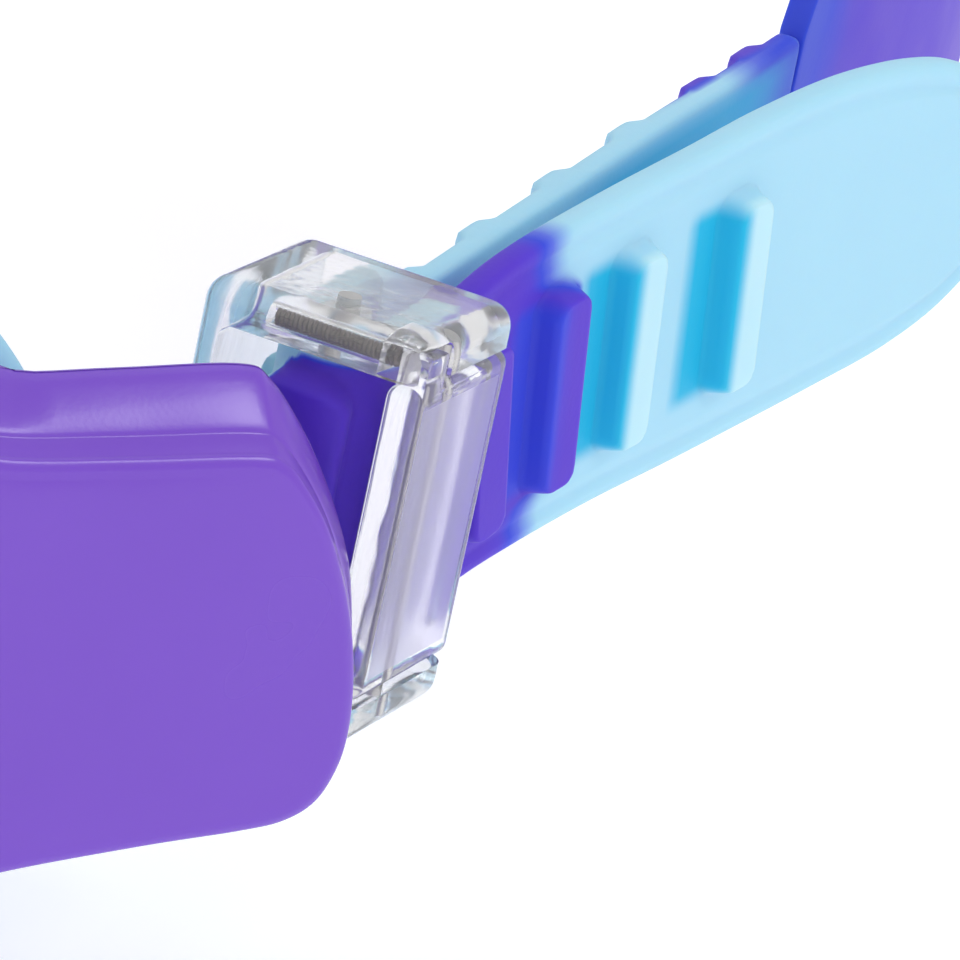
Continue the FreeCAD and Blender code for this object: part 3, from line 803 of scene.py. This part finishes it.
def pin_ear(z0, z1, side):
    """Round ear with a recess in its ends where the pin sits, and the web that joins it to the wing."""
    middle_z = (z0 + z1) / 2
    ear = bar((side * PIN_X, PIN_Y, middle_z), 2.2, z1 - z0)
    no_face_selected()
    for face in ear.data.polygons:
        face.select = abs(face.normal.z) > 0.9
    bpy.ops.object.mode_set(mode="EDIT")
    bpy.ops.mesh.bevel(offset=0.35 * MM, segments=3, affect="EDGES")
    bpy.ops.object.mode_set(mode="OBJECT")
    axis = at(side * PIN_X, PIN_Y, middle_z)
    for face in ear.data.polygons:
        face.select = abs(face.normal.z) > 0.99 and (face.center.xy - axis.xy).length < 0.0001
    bpy.ops.object.mode_set(mode="EDIT")
    bpy.ops.mesh.inset(thickness=1.03 * MM)
    bpy.ops.object.mode_set(mode="OBJECT")
    for vertex in ear.data.vertices:
        if (vertex.co.xy - axis.xy).length < 0.001:
            vertex.co.z += (0.25 if vertex.co.z < axis.z else -0.25) * MM
    web_middle = (side * (PIN_X + 1.9), PIN_Y - 1.6, middle_z)
    return [ear, rounded_box(web_middle, (4.4, 4.6, z1 - z0 - 0.1), 0.3, 3, side * WING_ANGLE)]


ears = [part for side in SIDES.values() for z0, z1 in EAR_HEIGHTS for part in pin_ear(z0, z1, side)]
bpy.ops.object.select_all(action="DESELECT")
for part in ears:
    part.select_set(True)
goggle_frame.select_set(True)
bpy.context.view_layer.objects.active = goggle_frame
bpy.ops.object.join()
goggle_frame.data.materials.clear()
coat(goggle_frame, frame_plastic, 50)
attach(goggle_frame, "frame")
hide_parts("frame_front")
print("frame with ears", len(goggle_frame.data.polygons), "faces")

# %% [markdown]
# The strap is a soft moulded band with full round edges. Low ribs run across one face, with soft corners
# where the mould was rounded. Here a rib is a raised patch of the same skin, so it has no seam at its foot.
# The band's line is a table of places seen from the side and from above. Its sections stand square to that
# line, so the ribs lean with the strap as it rises.

# %% Strap measures
STRAP_THICK = 1.6
STRAP_HALF = 8.3
STRAP_START = 36.1
RIB_HIGH, RIB_HALF_WIDE, RIB_HALF_LONG = 1.4, 1.6, 5.75
EDGE_ROWS = 8
EDGE_SQUARENESS = 0.62
LEAN = 0.16
PALE = 0.85

tail_x = [(36.1, 65.7), (42, 66.4), (48, 67.3), (56, 68.7), (65, 70.4), (78, 72.9), (92.5, 75.75)]
tail_top = [
    (36.1, 35.55), (40, 37.2), (44, 38.6), (52, 40.4), (60, 42.0), (66, 43.3), (73, 44.3), (80, 44.3),
    (85, 43.3), (89, 41.4), (91.5, 39.0), (92.4, 36.7),
]
tail_low = [
    (36.1, 18.95), (40, 19.8), (44, 20.7), (52, 22.2), (60, 23.4), (66, 24.4), (73, 25.6), (80, 26.9),
    (85, 28.5), (89, 31.0), (91.5, 34.0), (92.4, 36.3),
]
tail_ribs = [40.6, 47.1, 53.7, 63.2]
run_x = [(36.1, 61.3), (42, 61.2), (50, 61.3), (60, 61.8), (68, 62.2), (78, 62.7), (87.0, 62.8)]
run_top = [(36.1, 35.3), (43, 35.0), (49, 35.6), (56, 36.7), (65, 38.2), (74, 39.6), (87.0, 41.2)]
run_ribs = [44.3, 52.6, 60.8, 69.0, 77.3, 83.6]


def face_places(face_rows):
    """Places across the band, from -1 to 1, packed closer where the ends of the ribs lie."""
    places = []
    for i in range(face_rows + 1):
        u = -1 + 2 * i / face_rows
        packed = abs(u) - 0.115 * (math.sin(2 * math.pi * (abs(u) - 0.6)) + math.sin(2 * math.pi * 0.6))
        places.append(math.copysign(min(1.0, max(0.0, packed)), u) if 0 < i < face_rows else u)
    return places


def squared(turn):
    """Round edge with a flat middle: how far out it reaches and to which side it lies."""
    c, s = math.cos(turn), math.sin(turn)
    return abs(c) ** EDGE_SQUARENESS, math.copysign(abs(s) ** EDGE_SQUARENESS, s)


def band_section(face_rows):
    """Rows round the band: (place across from -1 to 1, reach of its round edge, side from -1 to 1)."""
    rows = [(place, 0.0, 1.0) for place in face_places(face_rows)]
    for i in range(1, EDGE_ROWS):
        turn = math.pi / 2 - math.pi * i / EDGE_ROWS
        rows.append((1.0, *squared(turn)))
    rows += [(-place, 0.0, -1.0) for place in face_places(face_rows)]
    for i in range(1, EDGE_ROWS):
        turn = -math.pi / 2 - math.pi * i / EDGE_ROWS
        rows.append((-1.0, *squared(turn)))
    return rows + [rows[0]]


def band_axes(middle, y):
    """Place of the band's middle at y, and its outward and upward directions."""
    here, ahead, behind = middle(y), middle(y + 0.2), middle(y - 0.2)
    forward = (ahead - behind).normalized()
    upward = (Vector((0, 0, 1)) - forward * forward.z).normalized()
    return here, forward.cross(upward), upward


def outside_patch(along, across, half_wide, half_long, corner):
    """Distance from the edge of a rectangle with round corners, below 0 inside it."""
    past_side = abs(along) - (half_wide - corner)
    past_end = abs(across) - (half_long - corner)
    return math.hypot(max(past_side, 0), max(past_end, 0)) + min(max(past_side, past_end), 0) - corner


def rib_height(along, across, half_long=RIB_HALF_LONG, corner=1.15):
    """How far the skin is raised at a place near a rib, 0 to 1. The rib has round corners."""
    return blend(0.3, -0.32, outside_patch(along, across, RIB_HALF_WIDE, half_long, corner))


def close_places(start, end, ribs, fine, coarse, reach=2.5):
    """Places along a strap from start to end, close together near the ribs."""
    places = [start]
    while places[-1] < end - 0.05:
        here = places[-1]
        near = any(abs(here + fine - rib) < reach for rib in ribs)
        places.append(min(end, here + (fine if near else coarse)))
    return places


def write_dye(piece, fade_at, painted_shade_at):
    """Store the dye fade and the teal painted shade on the points of a strap piece."""
    fade = piece.data.attributes.new("fade", "FLOAT", "POINT")
    pool = piece.data.attributes.new("pool", "FLOAT", "POINT")
    for vertex in piece.data.vertices:
        x, y, z = abs(vertex.co.x) / MM, vertex.co.y / MM + FORWARD, vertex.co.z / MM
        fade.data[vertex.index].value = fade_at(x, y, z)
        pool.data[vertex.index].value = painted_shade_at(x, y, z)


def close_ends(piece):
    """Fill the open ends of a long skin."""
    select_only(piece)
    bpy.ops.object.mode_set(mode="EDIT")
    bpy.ops.mesh.select_mode(type="EDGE")
    bpy.ops.mesh.select_all(action="DESELECT")
    bpy.ops.mesh.select_non_manifold(extend=False, use_boundary=True)
    bpy.ops.mesh.fill_holes(sides=0)
    bpy.ops.mesh.select_all(action="SELECT")
    bpy.ops.mesh.normals_make_consistent(inside=False)
    bpy.ops.object.mode_set(mode="OBJECT")


def strap_skin(name, places, section, place, fade_at, painted_shade_at):
    """One closed piece of the strap, dyed, given its painted shade and its silicone."""
    piece = skin_from_grid(name, places, len(section) - 1, place)
    close_ends(piece)
    write_dye(piece, fade_at, painted_shade_at)
    coat(piece, silicone, 70)
    return piece


def no_pool(x, y, z):
    return 0.0


print("strap sections", len(band_section(40)), "points round")

# %% [markdown]
# Every piece except the frame and the back band comes in a pair. The left one is made, and the right one is
# its mirror image with its own mesh. Each of the two then says which piece of the model it replaces and,
# where a body is given, which body carries it.

# %% Left and right


def other_side(piece):
    """Copy of a left piece, mirrored to the right side, with its own mesh."""
    copy = piece.copy()
    copy.data = piece.data.copy()
    copy.name = piece.name.replace("left", "right")
    copy.data.name = copy.name
    scene.collection.objects.link(copy)
    for vertex in copy.data.vertices:
        vertex.co.x = -vertex.co.x
    tidy_skin(copy)
    return copy


def both_sides(left, node, body=None):
    """Pair of a left piece and its mirror image, given to the model. A body's {} takes the side."""
    pair = {"left": left, "right": other_side(left)}
    for side_name, piece in pair.items():
        if body:
            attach(piece, body.format(side_name))
        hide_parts(node + "_" + side_name)
    return pair


print("pairs for", list(SIDES))

# %% [markdown]
# The outer layer is the strap's free end. It leaves the buckle purple, carries four ribs on its outer face,
# and ends in a wide smooth tab to pull on. Behind the second rib the dye has already faded to pale blue.

# %% Strap tail
TAIL_ROUND, TAIL_END = 88.0, 92.4
ROUND_COLUMNS = 22
tail_places = close_places(STRAP_START, TAIL_ROUND, tail_ribs, 0.16, 0.6)
for i in range(1, ROUND_COLUMNS + 1):
    tail_places.append(TAIL_ROUND + (TAIL_END - TAIL_ROUND) * math.sin(math.pi / 2 * i / ROUND_COLUMNS))
tail_section = band_section(64)


def tail_middle(y):
    """Middle of the tail's line at y."""
    height = (along_table(tail_top, y) + along_table(tail_low, y)) / 2
    return Vector((along_table(tail_x, y), y, height))


def tail_place(column, row):
    """Point of the tail's skin, with its ribs outside and a shallow groove along each edge."""
    y = tail_places[column]
    flat, round_edge, side = tail_section[row]
    here, outward, upward = band_axes(tail_middle, y)
    half = max(0.0, (along_table(tail_top, y) - along_table(tail_low, y)) / 2 * 0.99)
    thin = min(STRAP_THICK / 2, half)
    across = flat * (half - thin + round_edge * thin)
    lift = thin * side
    if side > 0:
        rib = min(tail_ribs, key=lambda rib: abs(y - rib))
        lift += RIB_HIGH * side * rib_height(y - rib, across)
        if side == 1:
            from_edge = half - abs(across)
            lift -= 0.16 * blend(1.75, 1.45, from_edge) * blend(0.95, 1.25, from_edge)
    point = here + upward * across + outward * lift
    return at(*point)


def tail_fade(x, y, z):
    """Purple as far as the second rib, less far along the edges, a little pale in the first groove, and paler
    on the rib tops as a painted highlight.
    """
    across = z - tail_middle(y).z
    here = y + across * LEAN
    past_ribs = blend(5.0, 7.0, abs(across))
    edge = 48.9 - 3.4 * past_ribs
    softness = 0.55 + 2.6 * past_ribs
    groove = 0.36 * blend(42.4, 43.6, here) * blend(47.2, 45.4, here) * (1 - past_ribs)
    # Painted highlight: pale rises to full on the raised rib tops, so they show paler than the band.
    pale = PALE + (1 - PALE) * blend(0.6, 1.3, x - along_table(tail_x, y) - 0.8)
    return min(pale, pale * blend(edge - softness, edge + softness, here) + groove)


def tail_painted_shade(x, y, z):
    """Painted teal shade just in front of the third and fourth ribs, on the outer face."""
    across = z - tail_middle(y).z
    here = y + across * LEAN
    amount = 0.0
    for rib in tail_ribs[2:]:
        amount += blend(-4.9, -3.6, here - rib) * blend(-0.5, -1.7, here - rib) * blend(6.3, 5.0, abs(across))
    outside = blend(0.1, 0.6, x - along_table(tail_x, y))
    return min(1.0, amount) * outside


tail_left = strap_skin("pull_tail_left", len(tail_places) - 1, tail_section, tail_place, tail_fade, tail_painted_shade)
both_sides(tail_left, "strap_tail", "buckle_{}")
print("tail faces", len(tail_left.data.polygons))

# %% [markdown]
# The inner layer goes from the buckle to the wide back band. Its ribs face the head and reach from edge to
# edge, so from the front they show as small bumps along its upper edge. It is pale blue at the buckle and
# turns purple before the back band.

# %% Strap run
RUN_RIB_HIGH = 0.7
run_places = close_places(STRAP_START, 87.0, run_ribs, 0.18, 0.6)
run_section = band_section(30)


def run_middle(y):
    """Middle of the run's line at y."""
    return Vector((along_table(run_x, y), y, along_table(run_top, y) - STRAP_HALF))


def run_place(column, row):
    """Point of the run's skin, with its ribs on the inner face."""
    y = run_places[column]
    flat, round_edge, side = run_section[row]
    here, outward, upward = band_axes(run_middle, y)
    thin = STRAP_THICK / 2
    raised = blend(1.95, 0.7, min(abs(y - rib) for rib in run_ribs))
    across = flat * (STRAP_HALF - thin + round_edge * thin)
    lift = thin * side
    if side < 0:
        lift += RUN_RIB_HIGH * side * raised
    point = here + upward * across + outward * lift
    return at(*point)


def run_fade(x, y, z):
    """Pale from the buckle, darker from Y = 75 on the outer face and from Y = 69 on the inner one."""
    inner = blend(-0.2, -1.0, x - along_table(run_x, y))
    outer_drop = (PALE - 0.42) * blend(75.0, 84.5, y) * (1 - inner)
    inner_drop = (PALE - 0.1) * blend(69.0, 76.0, y) * inner
    return PALE - outer_drop - inner_drop


def run_pool(x, y, z):
    """Painted teal shade over the middle of the run, on the outer face below its upper edge."""
    past_top = z - along_table(run_top, y)
    outside = blend(-0.1, 0.3, x - along_table(run_x, y))
    return 0.9 * blend(-0.2, -1.1, past_top) * blend(54, 64, y) * blend(88, 80, y) * outside


run_left = strap_skin("strap_run_skin_left", len(run_places) - 1, run_section, run_place, run_fade, run_pool)
for side_name, piece in both_sides(run_left, "strap_run").items():
    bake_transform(piece)
print("run faces", len(run_left.data.polygons))

# %% [markdown]
# Inside the buckle the strap folds round a post. The fold is the same band on a U-shaped line. It has one
# rib at the very front and one on each side, and the dye changes on its inner leg.

# %% Strap fold
POST_X, POST_Y, STRAP_Z = 63.5, 29.1, 27.25
FOLD_RADIUS = 2.2
FOLD_END = 35.95
FOLD_COLUMNS = 150
LEG_RIB = 2.4
fold_section = band_section(60)
leg = FOLD_END - POST_Y
fold_length = 2 * leg + math.pi * FOLD_RADIUS
fold_ribs = [leg - LEG_RIB, fold_length / 2, fold_length - leg + LEG_RIB]


def fold_rib(along, across, at_front):
    """Height at a rib of the fold. The front rib is longer than the others, with rounder ends."""
    return rib_height(along, across, 6.9, 1.45) if at_front else rib_height(along, across)


def fold_place(column, row):
    """Point of the fold's skin: back along the inner leg, round the post, and out along the outer leg."""
    run = fold_length * column / FOLD_COLUMNS
    if run < leg:
        here = Vector((POST_X - FOLD_RADIUS, FOLD_END - run, STRAP_Z))
        outward = Vector((-1, 0, 0))
    elif run > fold_length - leg:
        here = Vector((POST_X + FOLD_RADIUS, POST_Y + run - (fold_length - leg), STRAP_Z))
        outward = Vector((1, 0, 0))
    else:
        turn = (run - leg) / FOLD_RADIUS
        outward = Vector((-math.cos(turn), -math.sin(turn), 0))
        here = Vector((POST_X, POST_Y, STRAP_Z)) + outward * FOLD_RADIUS
    flat, round_edge, side = fold_section[row]
    thin = STRAP_THICK / 2
    across = flat * (STRAP_HALF - thin + round_edge * thin)
    lift = thin * side
    if side > 0:
        rib = min(fold_ribs, key=lambda rib: abs(run - rib))
        lift += RIB_HIGH * side * fold_rib(run - rib, across, rib == fold_ribs[1])
    return at(*(here + outward * lift + Vector((0, 0, across))))


def fold_fade(x, y, z):
    """A purple patch with round corners covers the front and the outer leg, and the rest is pale."""
    inward = max(0.0, POST_X + 0.6 - x)
    return PALE * blend(-0.1, 0.15, outside_patch(inward, z - STRAP_Z, 2.3, 7.55, 1.3))


fold_left = strap_skin("strap_fold_skin_left", FOLD_COLUMNS, fold_section, fold_place, fold_fade, no_pool)
both_sides(fold_left, "strap_fold", "buckle_{}")
print("fold faces", len(fold_left.data.polygons))

# %% [markdown]
# Behind the head the strap is one wide band with a long slit, so that it holds in two places. It is made as
# a single sheet: rows below and above the slit, whose own row of faces is deleted. Solidify gives the sheet
# its thickness, and a bevel rounds the rim.

# %% Back band
BACK_START, GOGGLES_DEEP = 87.1, 165.0
BACK_DEEP = GOGGLES_DEEP - STRAP_THICK / 2 - BACK_START
BACK_HALF_WIDE = 62.8
band_top, band_low = 41.2, 24.6
back_low = [
    (0, band_low), (0.5, band_low - 1.6), (1.2, band_low - 3.2), (2.2, band_low - 4.7), (3.5, band_low - 5.6),
    (9, band_low - 6.0), (28, band_low - 3.0), (48, band_low + 0.2), (66, band_low + 1.8), (80, band_low + 2.4),
]
back_top = [
    (0, band_top), (0.5, band_top + 1.6), (1.2, band_top + 3.2), (2.2, band_top + 4.6), (3.5, band_top + 5.4),
    (9, band_top + 6.2), (28, band_top + 9.0), (48, band_top + 11.6), (66, band_top + 12.6),
    (80, band_top + 13.0),
]
SLIT_START = 40.0
slit_low = [(SLIT_START, 37.0), (40.5, 35.8), (41.2, 34.9), (48, 34.6), (66, 36.2), (80, 37.0)]
slit_top = [(SLIT_START, 37.0), (40.5, 38.2), (41.2, 39.0), (48, 41.8), (66, 43.1), (80, 43.6)]
BACK_SQUARENESS = 2.8
BACK_COLUMNS = 260
BAND_ROWS = 9


def back_place(column, row):
    """Point of the sheet. The columns are packed closer near both shoulders."""
    share = column / BACK_COLUMNS
    turn = math.pi * (share - 0.145 * math.sin(2 * math.pi * share))
    along = math.cos(turn)
    back = BACK_DEEP * max(0.0, math.sin(turn)) ** (2 / BACK_SQUARENESS)
    x = BACK_HALF_WIDE * math.copysign(abs(along) ** (2 / BACK_SQUARENESS), along)
    low, high = along_table(back_low, back), along_table(back_top, back)
    cut_low, cut_high = along_table(slit_low, back), along_table(slit_top, back)
    if row <= BAND_ROWS:
        z = low + (cut_low - low) * row / BAND_ROWS
    else:
        z = cut_high + (high - cut_high) * (row - BAND_ROWS - 1) / BAND_ROWS
    return at(x, BACK_START + back, z)


back_band = skin_from_grid("back_band", BACK_COLUMNS, 2 * BAND_ROWS + 1, back_place)
no_face_selected()
for face in back_band.data.polygons:
    back = (face.center.y / MM + FORWARD) - BACK_START
    z = face.center.z / MM
    in_slit = along_table(slit_low, back) + 0.02 < z < along_table(slit_top, back) - 0.02
    face.select = back > SLIT_START and in_slit
bpy.ops.object.mode_set(mode="EDIT")
bpy.ops.mesh.delete(type="FACE")
bpy.ops.object.mode_set(mode="OBJECT")
thick = back_band.modifiers.new("band thickness", "SOLIDIFY")
thick.thickness = STRAP_THICK * MM
thick.offset = 0.0
thick.use_even_offset = True
bpy.ops.object.modifier_apply(modifier="band thickness")
rounded = back_band.modifiers.new("rounded rim", "BEVEL")
rounded.width = 0.6 * MM
rounded.segments = 4
rounded.limit_method = "ANGLE"
rounded.angle_limit = math.radians(55)
bpy.ops.object.modifier_apply(modifier="rounded rim")


def back_fade(x, y, z):
    """Strong blue where the run joins the wide band, and purple from there on."""
    return 0.05 + 0.37 * blend(99, 88, y) * blend(51, 43, z)


write_dye(back_band, back_fade, no_pool)
coat(back_band, silicone, 50)
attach(back_band, "frame")
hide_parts("strap_back")
print("back band faces", len(back_band.data.polygons))

# %% [markdown]
# The buckle is a small clear block with round edges, open at the front and back where the strap goes
# through, and on the outside where the lever sits. It is a bevelled cube with the strap's way cut out of it.
# Clear plastic must be one closed solid, so the openings are cut with the boolean modifier.

# %% Buckle housing
SPRING_X, SPRING_Y, SPRING_Z = 61.2, 26.0, 36.5
ALONG_X = (0, math.pi / 2, 0)
barrel_middle = (PIN_X, PIN_Y, 24.65)


def rounded_block(name, low, high, radius, segments=6):
    """Rounded box between two corners in millimetres."""
    middle = [(a + b) / 2 for a, b in zip(low, high)]
    block = rounded_box(middle, [b - a for a, b in zip(low, high)], radius, segments)
    block.name = name
    block.data.name = name
    return block


def combine(block, tool, operation):
    """Cut the tool out of the block, or add it, and remove the tool."""
    select_only(block)
    change = block.modifiers.new("cut", "BOOLEAN")
    change.operation = operation
    change.object = tool
    change.solver = "EXACT"
    bpy.ops.object.modifier_apply(modifier="cut")
    bpy.data.objects.remove(tool, do_unlink=True)


housing_left = rounded_block("clear_housing_left", (57.5, 24.3, 16.5), (70.0, 35.8, 38.0), 1.35, 8)
strap_way = rounded_block("strap_way", (59.0, 20.0, 18.7), (75.0, 40.0, 35.8), 0.7, 6)
combine(housing_left, strap_way, "DIFFERENCE")
ear_pocket = rounded_block("ear_pocket", (67.4, 24.8, 34.5), (72.0, 28.0, 37.5), 0.2, 2)
combine(housing_left, ear_pocket, "DIFFERENCE")
spring_bore = bar((65.5, SPRING_Y, SPRING_Z), 0.5, 9.0, 32, ALONG_X)
combine(housing_left, spring_bore, "DIFFERENCE")
swivel_arm = rounded_block("swivel_arm", (57.5, 19.6, 20.0), (59.4, 25.4, 29.3), 0.3, 3)
combine(housing_left, swivel_arm, "UNION")
combine(housing_left, bar(barrel_middle, 2.0, 9.3), "UNION")
combine(housing_left, bar(barrel_middle, 0.85, 30, 32), "DIFFERENCE")
housing_left.data.materials.clear()
tidy_skin(housing_left)
coat(housing_left, buckle_plastic, 35)
both_sides(housing_left, "buckle_housing", "buckle_{}")
print("housing faces", len(housing_left.data.polygons))

# %% [markdown]
# The lever is the buckle's outer wall. It rocks on a thin pin: pressed at the front, its rear tooth lifts
# out from behind a rib and the strap can slide. A small ear at its top front corner meets the spring. The
# outer face has a sunk panel with a frosted lilac finish, and the border round it stays clear.

# %% Release lever
PANEL_X, PANEL_TOP = 69.9, 35.0
lever_left = rounded_block("clear_lever_left", (68.0, 24.6, 19.0), (70.0, 35.7, 35.5), 0.75, 6)
lever_ear = rounded_block("lever_ear", (68.3, 25.2, 34.6), (69.95, 27.6, 37.1), 0.2, 2)
combine(lever_left, lever_ear, "UNION")
lever_tooth = rounded_block("lever_tooth", (66.8, 34.0, 20.5), (68.4, 35.4, 34.0), 0.3, 3)
combine(lever_left, lever_tooth, "UNION")
lever_left.data.materials.clear()
tidy_skin(lever_left)
coat(lever_left, buckle_plastic, 35)
lever_left.data.materials.append(lever_plastic)
no_face_selected()
for face in lever_left.data.polygons:
    faces_out = face.normal.x > 0.999 and face.center.x > PANEL_X * MM
    face.select = faces_out and face.center.z < PANEL_TOP * MM
bpy.ops.object.mode_set(mode="EDIT")
bpy.ops.mesh.inset(thickness=0.35 * MM, depth=-0.06 * MM)
bpy.ops.object.mode_set(mode="OBJECT")
for face in lever_left.data.polygons:
    face.material_index = 1 if face.select else 0
print("frosted faces on the lever", sum(face.select for face in lever_left.data.polygons))
both_sides(lever_left, "release_lever", "lever_{}")
print("lever faces", len(lever_left.data.polygons))

# %% [markdown]
# The lever's spring lies across the buckle in its top wall. It is a tight coil of steel wire: a circle on
# the wire's path, spun round the spring's axis while it moves along it.

# %% Lever spring
SPRING_TURNS, SPRING_STEPS, WIRE_SIDES = 26, 18, 8
SPRING_LONG, COIL_RADIUS, WIRE_RADIUS = 6.9, 0.31, 0.13


def coil_place(column, row):
    """Point of the wire: the column goes along the coil and the row round the wire."""
    turn = 2 * math.pi * column / SPRING_STEPS
    x = SPRING_X + 0.16 + (SPRING_LONG - 0.32) * column / (SPRING_TURNS * SPRING_STEPS)
    ring = 2 * math.pi * row / WIRE_SIDES
    reach = COIL_RADIUS + WIRE_RADIUS * math.cos(ring)
    y, z = SPRING_Y + reach * math.cos(turn), SPRING_Z + reach * math.sin(turn)
    return at(x + 0.128 * math.sin(ring), y, z)


spring_left = skin_from_grid("coil_spring_left", SPRING_TURNS * SPRING_STEPS, WIRE_SIDES, coil_place)
close_ends(spring_left)
coat(spring_left, dark_steel, 60)
for side_name, piece in both_sides(spring_left, "lever_spring", "buckle_{}").items():
    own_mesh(piece)
print("spring faces", len(spring_left.data.polygons))

# %% [markdown]
# Each eye has a soft cup that seals against the face. Its section is a thin wall that leaves the rim
# straight, narrows a little, and then flares into a round lip.

# %% Face seals
SEAL_COLUMNS = 120
seal_section = [  # half the width, half the height, depth
    (22.5, 15.5, 9.1), (22.6, 15.6, 9.5), (22.4, 15.4, 10.6), (21.9, 14.9, 12.0), (22.0, 15.1, 13.2),
    (23.0, 16.1, 14.3), (24.0, 17.1, 15.1), (24.45, 17.55, 15.9), (24.4, 17.5, 16.5), (23.9, 17.0, 16.95),
    (23.1, 16.1, 17.0), (22.2, 15.2, 16.6), (21.4, 14.4, 15.8), (20.7, 13.7, 14.6), (20.3, 13.3, 13.2),
    (20.1, 13.1, 12.0), (20.0, 12.9, 10.6), (19.8, 12.8, 9.5), (19.9, 12.9, 9.1), (21.2, 14.2, 9.06),
    (22.5, 15.5, 9.1),
]


def seal_place(column, row):
    """Point of the seal: the column goes round the eye and the row round the section."""
    half_x, half_z, y = seal_section[row]
    point = lens_loop(2 * math.pi * column / SEAL_COLUMNS, half_x, half_z)
    return at(point.x, y, point.y)


seal_left = skin_from_grid("soft_seal_left", SEAL_COLUMNS, len(seal_section) - 1, seal_place)
softer = seal_left.modifiers.new("soft form", "SUBSURF")
softer.levels = 1
softer.render_levels = 1
bpy.ops.object.modifier_apply(modifier="soft form")
# The seal's second attribute is painted shade: faint teal towards its front, where it meets the frame.
write_dye(seal_left, lambda x, y, z: PALE, lambda x, y, z: 0.25 * blend(13.6, 11.8, y))
coat(seal_left, silicone, 80)
both_sides(seal_left, "face_seal", "frame")
print("seal faces", len(seal_left.data.polygons))

# %% [markdown]
# The lenses are pale blue clear plates. They bow forwards slightly, so that they catch a curved reflection.

# %% Lenses
LENS_RINGS = 14
LENS_ROWS = 2 * LENS_RINGS + 2
LENS_FRONT, LENS_BACK, LENS_RIM, LENS_BOW = 2.12, 3.58, 4.0, 0.55
LENS_HALF = (21.45, 14.45)


def lens_place(column, row):
    """Point of the lens: rows go out over the front, round the rim, and back in over the rear."""
    in_front = row <= LENS_RINGS
    share = min(1.0, (row if in_front else LENS_ROWS - row) / LENS_RINGS)
    rim = lens_loop(2 * math.pi * column / SEAL_COLUMNS, *LENS_HALF)
    point = Vector((LENS_X, LENS_Z)).lerp(rim, share)
    bow = LENS_BOW * share * share
    y = LENS_FRONT + bow if in_front else LENS_BACK + bow * 0.9
    if row == LENS_RINGS + 1:
        y = LENS_RIM
    return at(point.x, y, point.y)


lens_left = skin_from_grid("bowed_lens_left", SEAL_COLUMNS, LENS_ROWS, lens_place)
coat(lens_left, lens_plastic, 40)
both_sides(lens_left, "lens", "frame")
print("lens faces", len(lens_left.data.polygons))

# %% [markdown]
# The small turned and ring-shaped parts already have their true form in the model. They keep it and get the
# steel, roller and retainer finishes.

# %% Finishes of the remaining parts
kept_parts = {
    "swivel_pin": steel, "lever_pin": steel, "post_pin": steel, "strap_roller": roller_plastic,
    "lens_retainer": retainer_plastic,
}
for part, material in kept_parts.items():
    for side_name in SIDES:
        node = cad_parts[part + "_" + side_name]
        node.data.materials.clear()
        node.data.materials.append(material)
print("finished", list(kept_parts))
